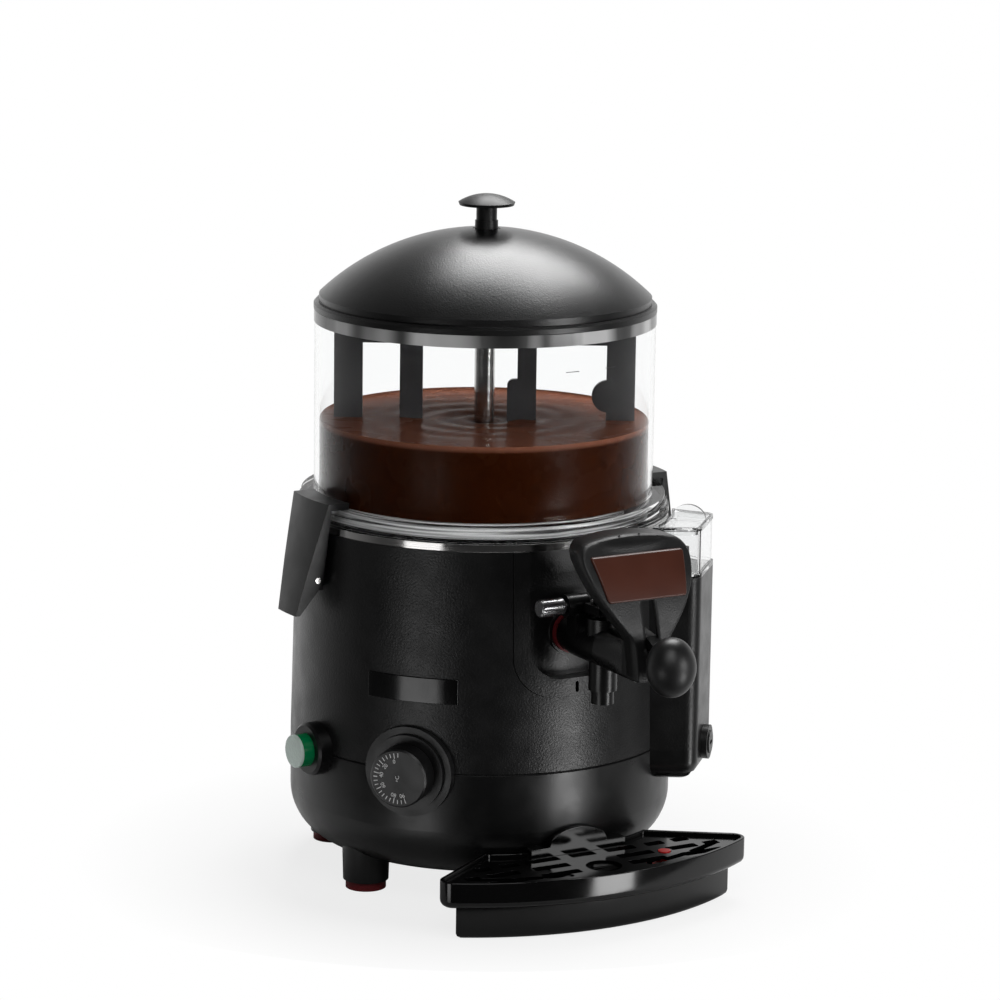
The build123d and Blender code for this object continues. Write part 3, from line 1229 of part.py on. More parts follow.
with BuildPart() as switch_body:
    round_post(SWITCH, SWITCH_BODY_RADIUS, SWITCH_BODY_FRONT - SWITCH_BODY_DEPTH, SWITCH_BODY_FRONT)
save(switch_body, "switch_body")

LENS_BACK = BUTTON_FRONT - LENS_THICKNESS
with BuildPart() as power_button:
    round_post(SWITCH, BUTTON_RADIUS, SWITCH_BODY_FRONT + BUTTON_TRAVEL + SLIDE_GAP, LENS_BACK)
save(power_button, "power_button")

with BuildPart() as button_lens:
    round_post(SWITCH, BUTTON_RADIUS, LENS_BACK, BUTTON_FRONT)
    fillet(front_edge(button_lens, SWITCH), LENS_THICKNESS / 2)
save(button_lens, "button_lens")

# Clear water tank on the box, with its tube and lid
TANK_WALL_Z = BOX_TOP_Z + TANK_FOOT
TANK_FLOOR_Z = BOX_TOP_Z + TANK_WALL
BODY_SIDE = body_radius(BOX_TOP_Z) + TANK_BODY_GAP


def tank_block(inset, start, end, body_reach):
    """Block of the water box's outline between two heights, kept out of a reach from the axis."""
    with BuildPart() as block:
        with BuildSketch(plan_at(BOX_ANGLE, start)) as outline:
            box_outline(outline, inset)
        extrude(amount=end - start)
        with BuildSketch(level(start)):
            Circle(body_reach)
        extrude(amount=end - start, mode=Mode.SUBTRACT)
    return block.part


with BuildPart() as water_tank:
    add(tank_block(0, BOX_TOP_Z, TANK_WALL_Z, BODY_SIDE))
    add(tank_block(TANK_STEP, TANK_WALL_Z, TANK_TOP_Z, BODY_SIDE))
    add(
        tank_block(TANK_STEP + TANK_WALL, TANK_FLOOR_Z, TANK_TOP_Z, BODY_SIDE + TANK_WALL),
        mode=Mode.SUBTRACT,
    )
save(water_tank, "water_tank")

TANK_MIDDLE = (BODY_SIDE + BOX_REACH) / 2
with BuildPart() as fill_tube:
    with BuildSketch(plan_at(BOX_ANGLE, TANK_FLOOR_Z)):
        with Locations((FILL_TUBE_OFFSET, -TANK_MIDDLE)):
            Circle(FILL_TUBE_RADIUS)
            Circle(FILL_TUBE_BORE, mode=Mode.SUBTRACT)
    extrude(amount=FILL_TUBE_HEIGHT)
save(fill_tube, "fill_tube")

TANK_LID_Z = TANK_TOP_Z + TANK_LID_THICKNESS
LIP_INSET = TANK_STEP + TANK_WALL + SLIDE_GAP
with BuildPart() as tank_lid:
    add(tank_block(TANK_STEP / 2, TANK_TOP_Z, TANK_LID_Z, BODY_SIDE))
    add(tank_block(LIP_INSET, TANK_TOP_Z - TANK_LID_LIP, TANK_TOP_Z, BODY_SIDE + TANK_WALL + SLIDE_GAP))
    add(
        tank_block(
            LIP_INSET + TANK_WALL,
            TANK_TOP_Z - TANK_LID_LIP,
            TANK_TOP_Z,
            BODY_SIDE + 2 * TANK_WALL + SLIDE_GAP,
        ),
        mode=Mode.SUBTRACT,
    )
    with BuildSketch(turned(BOX_ANGLE)):
        with Locations((TANK_MIDDLE, TANK_LID_Z)):
            Ellipse(TANK_HANDLE_LENGTH / 2, TANK_HANDLE_RISE)
        with Locations((TANK_MIDDLE, TANK_LID_Z - TANK_HANDLE_RISE)):
            Rectangle(2 * TANK_HANDLE_LENGTH, 2 * TANK_HANDLE_RISE, mode=Mode.SUBTRACT)
    extrude(amount=TANK_HANDLE_THICKNESS / 2, both=True)
save(tank_lid, "tank_lid")

# Drain in the water box
with BuildPart() as drain_socket:
    round_post(DRAIN, DRAIN_FLANGE_RADIUS, BOX_REACH, BOX_REACH + DRAIN_FLANGE_PROUD)
    round_post(DRAIN, DRAIN_SPIGOT_RADIUS, BOX_REACH - DRAIN_SPIGOT_LENGTH, BOX_REACH)
    plug_back = BOX_REACH + DRAIN_FLANGE_PROUD + DRAIN_PLUG_PROUD - DRAIN_PLUG_DEPTH
    round_hole(DRAIN, DRAIN_PLUG_RADIUS + RUN_GAP, plug_back, FAR)
    round_hole(DRAIN, DRAIN_SPIGOT_RADIUS / 2, 0, FAR)
save(drain_socket, "drain_socket")

with BuildPart() as drain_plug:
    round_post(DRAIN, DRAIN_PLUG_RADIUS, plug_back, plug_back + DRAIN_PLUG_DEPTH)
    with BuildSketch(DRAIN.offset(plug_back + DRAIN_PLUG_DEPTH)):
        Rectangle(DRAIN_SLOT_LENGTH, DRAIN_SLOT_WIDTH)
    extrude(amount=-DRAIN_SLOT_DEPTH, mode=Mode.SUBTRACT)
save(drain_plug, "drain_plug")

# Cable gland at the back
with BuildPart() as cable_gland:
    round_post(GLAND, GLAND_RADIUS, SEAM_RADIUS - GLAND_RADIUS, SEAM_RADIUS + GLAND_PROUD)
    add(CORE, mode=Mode.SUBTRACT)
    round_post(GLAND, GLAND_SPIGOT_RADIUS, SEAM_RADIUS - GLAND_INSIDE, SEAM_RADIUS + GLAND_PROUD)
    round_hole(GLAND, CORD_BORE, SEAM_RADIUS - GLAND_INSIDE + SHELL_WALL, FAR)
save(cable_gland, "cable_gland")

# Tap: ring seal, body, cap, piston, cross pin, spring and knurled pin
CHAMBER = Plane(origin=(0, AXIS_Y - NOZZLE_FORWARD, 0))
with BuildPart() as tap_seal:
    with BuildSketch(TAP.offset(PAD_FRONT)):
        Circle(SEAL_RADIUS)
        Circle(PIPE_RADIUS + FIT_GAP, mode=Mode.SUBTRACT)
    extrude(amount=SEAL_THICKNESS)
save(tap_seal, "tap_seal")

NOSE_MIDDLE_Z = (NOSE_BOTTOM_Z + NOSE_TOP_Z) / 2
LEVER_TOP_Z = PIN_Z + LEVER_THICKNESS / 2
with BuildPart() as tap_body:
    round_post(TAP, TAP_ROOT_RADIUS, SEAL_FRONT, TAP_STEP_FORWARD)
    round_post(TAP, TAP_RADIUS, TAP_STEP_FORWARD, TAP_TAPER_FORWARD)
    with BuildSketch(TAP.offset(TAP_TAPER_FORWARD)):
        Circle(TAP_RADIUS)
    with BuildSketch(facing(0, NOSE_BACK, NOSE_MIDDLE_Z)):
        RectangleRounded(2 * NOSE_HALF_WIDTH, NOSE_TOP_Z - NOSE_BOTTOM_Z, NOSE_HALF_WIDTH / 3)
    loft()
    with BuildSketch(facing(0, NOSE_BACK, NOSE_MIDDLE_Z)):
        RectangleRounded(2 * NOSE_HALF_WIDTH, NOSE_TOP_Z - NOSE_BOTTOM_Z, NOSE_HALF_WIDTH / 3)
    extrude(amount=NOSE_FRONT - NOSE_BACK)
    round_post(CHAMBER, NOZZLE_UPPER_RADIUS, NOZZLE_STEP_Z, TAP_Z)
    round_post(CHAMBER, NOZZLE_LOWER_RADIUS, NOZZLE_END_Z, NOZZLE_STEP_Z)
    round_post(CHAMBER, CHAMBER_RADIUS + CHAMBER_WALL, TAP_Z, CHAMBER_TOP_Z)
    for hand in (-1, 1):
        start = LEVER_HALF_WIDTH + SLIDE_GAP
        with BuildSketch(side(hand * (start + BOSS_HALF_LENGTH) / 2)):
            with Locations((PIN_FORWARD, PIN_Z)):
                Circle(BOSS_RADIUS)
        extrude(amount=(BOSS_HALF_LENGTH - start) / 2, both=True)
        with BuildSketch(side(hand * (start + TAP_RADIUS) / 2)):
            with Locations((PIN_FORWARD, (TAP_Z + PIN_Z) / 2)):
                Rectangle(2 * BOSS_WEB_HALF, PIN_Z - TAP_Z)
        extrude(amount=(TAP_RADIUS - start) / 2, both=True)
    with BuildSketch(side()):
        with Locations((PIN_FORWARD, PIN_Z)):
            Circle(PIN_RADIUS + RUN_GAP)
    extrude(amount=BOSS_HALF_LENGTH, both=True, mode=Mode.SUBTRACT)
    round_hole(TAP, PIPE_RADIUS + RUN_GAP, SEAL_FRONT, SEAL_FRONT + PIPE_SOCKET)
    round_hole(TAP, PIPE_BORE, SEAL_FRONT, NOZZLE_FORWARD)
    round_hole(CHAMBER, CHAMBER_RADIUS, SEAT_Z, CHAMBER_TOP_Z)
    round_hole(CHAMBER, SEAT_BORE + RUN_GAP, SEAT_Z - PLUG_LENGTH, SEAT_Z)
    round_hole(CHAMBER, NOZZLE_BORE, 0, SEAT_Z)
save(tap_body, "tap_body")

CAP_TOP_Z = CHAMBER_TOP_Z + CAP_THICKNESS
with BuildPart() as tap_cap:
    round_post(CHAMBER, CHAMBER_RADIUS + CHAMBER_WALL, CHAMBER_TOP_Z, CAP_TOP_Z)
    round_hole(CHAMBER, STEM_RADIUS + RUN_GAP, 0, FAR)
save(tap_cap, "tap_cap")

CROSS_PIN_Z = LEVER_TOP_Z + PRONG_LIFT_GAP + CROSS_PIN_RADIUS
PLUG_TOP_Z = SEAT_Z + PLUG_FLANGE_THICKNESS
with BuildPart() as tap_piston:
    round_post(CHAMBER, SEAT_BORE, SEAT_Z - PLUG_LENGTH + RUN_GAP, SEAT_Z)
    round_post(CHAMBER, PLUG_FLANGE_RADIUS, SEAT_Z, PLUG_TOP_Z)
    round_post(CHAMBER, STEM_RADIUS, PLUG_TOP_Z, CROSS_PIN_Z + STEM_HEADROOM)
    with BuildSketch(side()):
        with Locations((NOZZLE_FORWARD, CROSS_PIN_Z)):
            Circle(CROSS_PIN_RADIUS + RUN_GAP)
    extrude(amount=STEM_RADIUS, both=True, mode=Mode.SUBTRACT)
save(tap_piston, "tap_piston")

with BuildPart() as cross_pin:
    with BuildSketch(side()):
        with Locations((NOZZLE_FORWARD, CROSS_PIN_Z)):
            Circle(CROSS_PIN_RADIUS)
    extrude(amount=CROSS_PIN_LENGTH / 2, both=True)
save(cross_pin, "cross_pin")

spring_low = PLUG_TOP_Z + SPRING_WIRE + SPRING_END_GAP
spring_high = CHAMBER_TOP_Z - SPRING_WIRE - SPRING_END_GAP
with BuildPart() as tap_spring:
    with BuildLine():
        coil = Helix(
            pitch=(spring_high - spring_low) / SPRING_TURNS,
            height=spring_high - spring_low,
            radius=SPRING_RADIUS,
            center=(0, AXIS_Y - NOZZLE_FORWARD, spring_low),
        )
    with BuildSketch(Plane(origin=coil @ 0, z_dir=coil % 0)):
        Circle(SPRING_WIRE)
    sweep()
save(tap_spring, "tap_spring")

with BuildPart() as tap_pin:
    with BuildSketch(side(-PIN_HEAD_START)):
        with Locations((PIN_FORWARD, PIN_Z)):
            RegularPolygon(PIN_HEAD_RADIUS, PIN_KNURLS)
    extrude(amount=PIN_HEAD_LENGTH)
    with BuildSketch(side(BOSS_HALF_LENGTH)):
        with Locations((PIN_FORWARD, PIN_Z)):
            Circle(PIN_RADIUS)
    extrude(amount=BOSS_HALF_LENGTH + PIN_HEAD_START)
save(tap_pin, "tap_pin")

# Lever with prongs beside the piston, and its ball
WINDOW_BACK = NOZZLE_FORWARD - PRONG_LENGTH / 2
WINDOW_FRONT = NOZZLE_FORWARD + PRONG_LENGTH / 2
PRONG_INNER = CROSS_PIN_LENGTH / 2 - PRONG_WIDTH
BALL_ANGLE = atan2(BALL_Z - LEVER_EXIT_Z, BALL_FORWARD - LEVER_EXIT_FORWARD)
STUB_BACK = BALL_HALF_WIDTH - BALL_NECK_SINK
STUB = Plane(
    origin=(0, AXIS_Y - BALL_FORWARD + STUB_BACK * cos(BALL_ANGLE), BALL_Z - STUB_BACK * sin(BALL_ANGLE)),
    x_dir=(1, 0, 0),
    z_dir=(0, -cos(BALL_ANGLE), sin(BALL_ANGLE)),
)
half_bar = LEVER_THICKNESS / 2
neck_forward = BALL_FORWARD - STUB_BACK * cos(BALL_ANGLE)
neck_z = BALL_Z - STUB_BACK * sin(BALL_ANGLE)
with BuildPart() as tap_lever:
    with BuildSketch(side()):
        ring_face(
            (PIN_FORWARD, PIN_Z - half_bar),
            (WINDOW_FRONT, PIN_Z - half_bar),
            (LEVER_EXIT_FORWARD, LEVER_EXIT_Z - half_bar),
            (neck_forward + half_bar * sin(BALL_ANGLE), neck_z - half_bar * cos(BALL_ANGLE)),
            (neck_forward - half_bar * sin(BALL_ANGLE), neck_z + half_bar * cos(BALL_ANGLE)),
            (LEVER_EXIT_FORWARD, LEVER_EXIT_Z + half_bar),
            (WINDOW_FRONT, PIN_Z + half_bar),
            (PIN_FORWARD, PIN_Z + half_bar),
        )
        with Locations((PIN_FORWARD, PIN_Z)):
            Circle(LEVER_HUB_RADIUS)
    extrude(amount=LEVER_HALF_WIDTH, both=True)
    with BuildSketch(level(PIN_Z - half_bar)):
        with Locations((0, -NOZZLE_FORWARD)):
            Rectangle(2 * (PRONG_INNER + PRONG_WIDTH), PRONG_LENGTH)
    extrude(amount=LEVER_THICKNESS)
    with BuildSketch(level(PIN_Z - BOSS_RADIUS)):
        with Locations((0, -NOZZLE_FORWARD)):
            Rectangle(2 * PRONG_INNER, PRONG_LENGTH - 2 * PRONG_WIDTH)
    extrude(amount=2 * BOSS_RADIUS, mode=Mode.SUBTRACT)
    with BuildSketch(side()):
        with Locations((PIN_FORWARD, PIN_Z)):
            Circle(PIN_RADIUS + RUN_GAP)
    extrude(amount=LEVER_HALF_WIDTH, both=True, mode=Mode.SUBTRACT)
    round_post(STUB, half_bar, 0, BALL_STUB_LENGTH)
save(tap_lever, "tap_lever")

# The ball's outline is an arc at its top, one at its side and one below, each running into the next.
ball_rise = BALL_HALF_HEIGHT - BALL_END_RADIUS
ball_lead = BALL_HALF_WIDTH - BALL_END_RADIUS
side_back = (ball_rise**2 - ball_lead**2) / (2 * ball_lead)
side_radius = BALL_HALF_WIDTH + side_back
join_turn = atan2(ball_rise, side_back)
join = (side_radius * cos(join_turn) - side_back, side_radius * sin(join_turn))
end_turn = (radians(90) + join_turn) / 2
end_middle = (BALL_END_RADIUS * cos(end_turn), ball_rise + BALL_END_RADIUS * sin(end_turn))
with BuildPart() as lever_ball:
    with BuildSketch(Plane(origin=(0, AXIS_Y - BALL_FORWARD, BALL_Z), x_dir=(1, 0, 0), z_dir=(0, -1, 0))):
        with BuildLine():
            ThreePointArc((0, BALL_HALF_HEIGHT), end_middle, join)
            ThreePointArc(join, (BALL_HALF_WIDTH, 0), (join[0], -join[1]))
            ThreePointArc((join[0], -join[1]), (end_middle[0], -end_middle[1]), (0, -BALL_HALF_HEIGHT))
            Line((0, -BALL_HALF_HEIGHT), (0, BALL_HALF_HEIGHT))
        make_face()
    revolve(axis=Axis((0, AXIS_Y - BALL_FORWARD, 0), (0, 0, 1)))
    with BuildSketch(STUB.offset(-BALL_HALF_WIDTH)):
        Rectangle(2 * LEVER_HALF_WIDTH + 2 * FIT_GAP, LEVER_THICKNESS + 2 * FIT_GAP)
    extrude(amount=BALL_HALF_WIDTH, mode=Mode.SUBTRACT)
    round_hole(STUB, half_bar + RUN_GAP, 0, BALL_STUB_LENGTH)
save(lever_ball, "lever_ball")

# Hood: a shield with a face bent to an arc, hollow at the back
tilt = radians(HOOD_MID_TILT)
FACE_CENTRE = (HOOD_MID_FORWARD - HOOD_FACE_RADIUS * cos(tilt), HOOD_MID_Z - HOOD_FACE_RADIUS * sin(tilt))


def hood_outline(inset):
    """Front outline of the hood in the sketch in hand, taken in by an inset."""
    with BuildLine() as outline:
        right = ThreePointArc(
            (HOOD_TIP_HALF - inset, HOOD_TIP_Z),
            (HOOD_WAIST_HALF - inset, HOOD_WAIST_Z),
            (HOOD_SHOULDER_HALF - inset, HOOD_SHOULDER_Z),
        )
        ThreePointArc(
            right @ 1, (0, HOOD_TOP_Z - inset), (-HOOD_SHOULDER_HALF + inset, HOOD_SHOULDER_Z)
        )
        left = ThreePointArc(
            (-HOOD_SHOULDER_HALF + inset, HOOD_SHOULDER_Z),
            (-HOOD_WAIST_HALF + inset, HOOD_WAIST_Z),
            (-HOOD_TIP_HALF + inset, HOOD_TIP_Z),
        )
        Polyline(
            left @ 1,
            (-HOOD_CHIN_HALF + inset, HOOD_CHIN_Z),
            (HOOD_CHIN_HALF - inset, HOOD_CHIN_Z),
            right @ 0,
        )
    make_face(outline.edges())


def face_band(outer, inner, half):
    """Solid between two arcs in front of the tap, as offsets of the hood's face, across a half width."""
    with BuildPart() as band:
        with BuildSketch(side()):
            with Locations(FACE_CENTRE):
                Circle(HOOD_FACE_RADIUS + outer)
                Circle(HOOD_FACE_RADIUS + inner, mode=Mode.SUBTRACT)
            with Locations((FACE_CENTRE[0] + FAR / 2, HOOD_MID_Z)):
                Rectangle(FAR, FAR, mode=Mode.INTERSECT)
        extrude(amount=half, both=True)
    return band.part


with BuildPart() as hood_hollow:
    with BuildSketch(facing(0, 0, 0)):
        hood_outline(HOOD_WALL)
    extrude(amount=FAR)
    add(face_band(-HOOD_WALL, -2 * HOOD_DEPTH, HOOD_SHOULDER_HALF), mode=Mode.INTERSECT)

with BuildPart() as tap_hood:
    with BuildSketch(facing(0, 0, 0)):
        hood_outline(0)
    extrude(amount=FAR)
    add(face_band(0, -HOOD_DEPTH, HOOD_SHOULDER_HALF), mode=Mode.INTERSECT)
    add(hood_hollow.part, mode=Mode.SUBTRACT)
    with BuildSketch(facing(0, NOSE_BACK, 0)):
        with Locations((0, NOSE_TOP_Z + HOOD_LEDGE / 2)):
            Rectangle(2 * HOOD_CHIN_HALF, HOOD_LEDGE)
    extrude(amount=NOSE_FRONT - NOSE_BACK)
    with BuildSketch(facing(0, NOSE_BACK - HOOD_DEPTH, 0)):
        with Locations((0, (HOOD_SLOT_BOTTOM_Z + HOOD_SLOT_TOP_Z) / 2)):
            Rectangle(2 * HOOD_SLOT_HALF, HOOD_SLOT_TOP_Z - HOOD_SLOT_BOTTOM_Z)
    extrude(amount=FAR, mode=Mode.SUBTRACT)
save(tap_hood, "tap_hood")

with BuildPart() as hood_label:
    with BuildSketch(facing(0, 0, 0)):
        ring_face(
            (-LABEL_BOTTOM_HALF, LABEL_BOTTOM_Z),
            (LABEL_BOTTOM_HALF, LABEL_BOTTOM_Z),
            (LABEL_TOP_HALF, LABEL_TOP_Z),
            (-LABEL_TOP_HALF, LABEL_TOP_Z),
        )
    extrude(amount=FAR)
    add(face_band(LABEL_THICKNESS, 0, HOOD_SHOULDER_HALF), mode=Mode.INTERSECT)
save(hood_label, "hood_label")


# Drip tray, its guide under the base, the grille and the float
def tray_outline(sketch, inset):
    """Draws the outline of the tray, taken in by an inset."""
    rear_forward = sqrt(TRAY_REAR_RADIUS**2 - TRAY_REAR_ACROSS**2)
    wide = 2 * TRAY_REAR_ACROSS
    wide_forward = rear_forward + (wide - TRAY_REAR_ACROSS) * TRAY_REAR_SLOPE
    with Locations((0, -TRAY_CENTRE_FORWARD)):
        Circle(TRAY_FRONT_RADIUS)
    with BuildLine() as wedge:
        Polyline(
            (-TRAY_REAR_ACROSS, -rear_forward),
            (-wide, -wide_forward),
            (-wide, -FAR),
            (wide, -FAR),
            (wide, -wide_forward),
            (TRAY_REAR_ACROSS, -rear_forward),
            close=True,
        )
    make_face(wedge.edges(), mode=Mode.INTERSECT)
    Circle(TRAY_REAR_RADIUS, mode=Mode.SUBTRACT)
    ends = sketch.vertices().sort_by(Axis.X)
    fillet([ends[0], ends[-1]], TRAY_TIP_ROUND)
    if inset:
        offset(amount=-inset, mode=Mode.REPLACE)


def tray_block(inset, start, end, mode=Mode.ADD):
    """Adds or takes a block of the tray's outline between two heights."""
    with BuildSketch(level(start)) as outline:
        tray_outline(outline, inset)
    extrude(outline.sketch, amount=end - start, mode=mode)


FLANGE_Z = TRAY_BAND_Z + TRAY_WALL
with BuildPart() as drip_tray:
    tray_block(TRAY_BASIN_INSET, TRAY_BASIN_Z, TRAY_BAND_Z)
    tray_block(0, TRAY_BAND_Z, TRAY_RIM_Z)
    tongue_front = TRAY_REAR_RADIUS + TRAY_BASIN_INSET + TRAY_WALL
    with BuildSketch(level(TONGUE_Z)):
        with Locations((0, -(TONGUE_BACK + tongue_front) / 2)):
            Rectangle(2 * TONGUE_HALF, tongue_front - TONGUE_BACK)
    extrude(amount=TONGUE_THICKNESS)
    tray_block(TRAY_BASIN_INSET + TRAY_WALL, TRAY_BASIN_Z + TRAY_WALL, TRAY_RIM_Z, Mode.SUBTRACT)
    tray_block(TRAY_WALL, FLANGE_Z, TRAY_RIM_Z, Mode.SUBTRACT)
    with BuildSketch(level(TRAY_BAND_Z)):
        with Locations((0, -BLOCK_FRONT / 2)):
            Rectangle(2 * BACK_BLOCK_HALF, BLOCK_FRONT)
        Circle(TRAY_REAR_RADIUS, mode=Mode.SUBTRACT)
    extrude(amount=BACK_BLOCK_Z - TRAY_BAND_Z)
    with BuildSketch(facing(0, BLOCK_FRONT, BACK_BLOCK_Z)):
        Ellipse(BACK_TAB_HALF, BACK_TAB_RISE)
        with Locations((0, -BACK_TAB_RISE)):
            Rectangle(3 * BACK_TAB_HALF, 2 * BACK_TAB_RISE, mode=Mode.SUBTRACT)
    extrude(amount=-BACK_TAB_THICKNESS)
save(drip_tray, "drip_tray")

GUIDE_BOTTOM_Z = TONGUE_Z - SLIDE_GAP - GUIDE_WALL
GUIDE_TOP_Z = BASE_Z - COVER_THICKNESS
GUIDE_HALF = TONGUE_HALF + SLIDE_GAP + GUIDE_WALL
with BuildPart() as tray_guide:
    with BuildSketch(facing(0, GUIDE_FRONT - GUIDE_LENGTH, 0)):
        ring_face(
            (-GUIDE_HALF, GUIDE_BOTTOM_Z),
            (GUIDE_HALF, GUIDE_BOTTOM_Z),
            (GUIDE_HALF, GUIDE_TOP_Z),
            (GUIDE_HALF - GUIDE_WALL, GUIDE_TOP_Z),
            (GUIDE_HALF - GUIDE_WALL, GUIDE_BOTTOM_Z + GUIDE_WALL),
            (-GUIDE_HALF + GUIDE_WALL, GUIDE_BOTTOM_Z + GUIDE_WALL),
            (-GUIDE_HALF + GUIDE_WALL, GUIDE_TOP_Z),
            (-GUIDE_HALF, GUIDE_TOP_Z),
        )
    extrude(amount=GUIDE_LENGTH)
save(tray_guide, "tray_guide")

# Slots of the grille on one hand, as the row and the ends across; the other hand mirrors them
SLOTS = [
    (0, 18.0, 40.5),
    (0, 49.0, 63.0),
    (0, 70.0, 82.0),
    (1, 19.0, 45.5),
    (1, 57.0, 80.0),
    (1, 86.0, 97.0),
    (2, 19.0, 47.5),
    (2, 60.0, 92.0),
]
CENTRE_SLOT_HALF = 9.5
FRONT_SLOTS = [(31.0, 63.0), (71.0, 93.0)]
GRILLE_INSET = TRAY_WALL + SLIDE_GAP
GRILLE_UNDER_Z = GRILLE_Z - GRILLE_THICKNESS
FLOAT_SEAT_Z = GRILLE_Z - FLOAT_CAP_SINK
FLOAT = Plane(origin=(FLOAT_ACROSS, AXIS_Y - FLOAT_FORWARD, 0))


def slot(across_middle, forward, length):
    """A grille slot with softened corners in the sketch in hand."""
    with Locations((across_middle, -forward)):
        RectangleRounded(length, SLOT_WIDTH, SLOT_ROUND)


with BuildPart() as drip_grille:
    tray_block(GRILLE_INSET, FLANGE_Z, GRILLE_Z)
    tray_block(GRILLE_INSET + GRILLE_SKIRT, FLANGE_Z, GRILLE_UNDER_Z, Mode.SUBTRACT)
    with BuildSketch(level(FLANGE_Z)):
        with Locations((0, -(BLOCK_FRONT + SLIDE_GAP) / 2)):
            Rectangle(2 * (BACK_BLOCK_HALF + SLIDE_GAP), BLOCK_FRONT + SLIDE_GAP)
    extrude(amount=TRAY_RIM_Z - FLANGE_Z, mode=Mode.SUBTRACT)
    with BuildSketch(level(GRILLE_UNDER_Z)):
        slot(0, SLOT_ROW_FORWARD, 2 * CENTRE_SLOT_HALF)
        for hand in (-1, 1):
            for row, near, far in SLOTS:
                slot(hand * (near + far) / 2, SLOT_ROW_FORWARD + row * SLOT_ROW_PITCH, far - near)
        with Locations((0, -CUP_HOLE_FORWARD)):
            Circle(CUP_HOLE_RADIUS)
        with Locations((FLOAT_ACROSS, -FLOAT_FORWARD)):
            Circle(FLOAT_CAP_RADIUS + GRILLE_SKIRT, mode=Mode.SUBTRACT)
            Circle(FLOAT_STEM_RADIUS + FIT_GAP)
    extrude(amount=GRILLE_THICKNESS, mode=Mode.SUBTRACT)
    for hand in (-1, 1):
        for near, far in FRONT_SLOTS:
            near_angle = degrees(asin(near / FRONT_SLOT_RADIUS))
            far_angle = degrees(asin(far / FRONT_SLOT_RADIUS))
            middle = -90 + hand * (near_angle + far_angle) / 2
            start = middle - (far_angle - near_angle) / 2
            with BuildLine() as path:
                CenterArc(
                    (0, -TRAY_CENTRE_FORWARD), FRONT_SLOT_RADIUS, start, far_angle - near_angle
                )
            with BuildSketch(level(GRILLE_UNDER_Z)) as front_slot:
                SlotArc(path.wire(), FRONT_SLOT_WIDTH)
            extrude(front_slot.sketch, amount=GRILLE_THICKNESS, mode=Mode.SUBTRACT)
    round_hole(FLOAT, FLOAT_CAP_RADIUS + SLIDE_GAP, FLOAT_SEAT_Z, GRILLE_Z)
save(drip_grille, "drip_grille")

FLOAT_DISC_TOP = GRILLE_UNDER_Z - FLOAT_TRAVEL - SLIDE_GAP
with BuildPart() as tray_float:
    round_post(FLOAT, FLOAT_CAP_RADIUS, FLOAT_SEAT_Z, FLOAT_SEAT_Z + FLOAT_CAP_HEIGHT)
    round_post(FLOAT, FLOAT_STEM_RADIUS, FLOAT_DISC_TOP, FLOAT_SEAT_Z)
    round_post(FLOAT, FLOAT_DISC_RADIUS, FLOAT_DISC_TOP - FLOAT_DISC_HEIGHT, FLOAT_DISC_TOP)
save(tray_float, "tray_float")
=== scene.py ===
"""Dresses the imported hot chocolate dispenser: its finishes, hood, spring, drink, prints and studio."""

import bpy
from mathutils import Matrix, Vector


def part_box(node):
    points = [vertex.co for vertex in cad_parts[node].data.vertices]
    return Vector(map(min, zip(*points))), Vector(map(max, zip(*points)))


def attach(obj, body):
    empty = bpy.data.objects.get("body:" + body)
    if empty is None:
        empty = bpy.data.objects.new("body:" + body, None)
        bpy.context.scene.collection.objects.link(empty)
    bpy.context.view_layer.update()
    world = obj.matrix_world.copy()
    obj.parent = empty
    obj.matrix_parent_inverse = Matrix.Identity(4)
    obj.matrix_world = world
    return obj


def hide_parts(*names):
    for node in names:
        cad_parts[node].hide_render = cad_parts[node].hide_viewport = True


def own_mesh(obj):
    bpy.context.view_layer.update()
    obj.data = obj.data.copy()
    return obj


bl_info = {
    "name": "Hot chocolate dispenser",
    "version": (1, 0, 0),
    "blender": (4, 5, 0),
    "location": "View3D > Sidebar > Dispenser",
    "description": "Finishes, hood, spring, drink, prints and studio for the packed dispenser",
    "category": "Object",
}

from math import atan2, cos, pi, radians, sin

import bmesh
import bpy
from mathutils import Matrix, Vector

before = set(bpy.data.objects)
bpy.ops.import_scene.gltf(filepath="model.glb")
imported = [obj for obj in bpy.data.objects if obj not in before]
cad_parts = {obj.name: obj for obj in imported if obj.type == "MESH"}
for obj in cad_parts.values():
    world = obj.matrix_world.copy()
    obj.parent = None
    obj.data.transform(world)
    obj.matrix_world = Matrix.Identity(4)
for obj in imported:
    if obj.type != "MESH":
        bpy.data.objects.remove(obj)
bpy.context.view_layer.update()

# Places on the machine, in metres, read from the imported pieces
COLUMN_LOW, COLUMN_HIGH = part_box("shaft_column")
AXIS_Y = (COLUMN_LOW.y + COLUMN_HIGH.y) / 2
BOWL_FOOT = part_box("bowl")[0].z
LID_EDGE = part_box("lid")[0].z
POT_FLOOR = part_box("inner_pot")[0].z

# Radii of the bowl and the pot, and the dial's place, which the boxes don't give
BOWL_INSIDE = 0.1127
BOWL_OUTSIDE = 0.1157
POT_INSIDE = 0.1055
DIAL_ANGLE = radians(-50)
DIAL_REACH = 0.152
DIAL_HEIGHT = 0.0955

# The drink's gap to the walls, and how far it climbs them
WALL_GAP = 0.0007
CLIMB = 0.0016

# Distance at which vertices merge, distance that counts as on a surface, and steps of a full turn
MERGE = 1e-6
NEAR = 1e-5
ROUND_STEPS = 160

# Up, and the level directions to the right of the camera and ahead of it
UP = Vector((0, 0, 1))
VIEW_RIGHT = Vector((0.86949, -0.49394, 0))
VIEW_AHEAD = Vector((0.49394, 0.86949, 0))


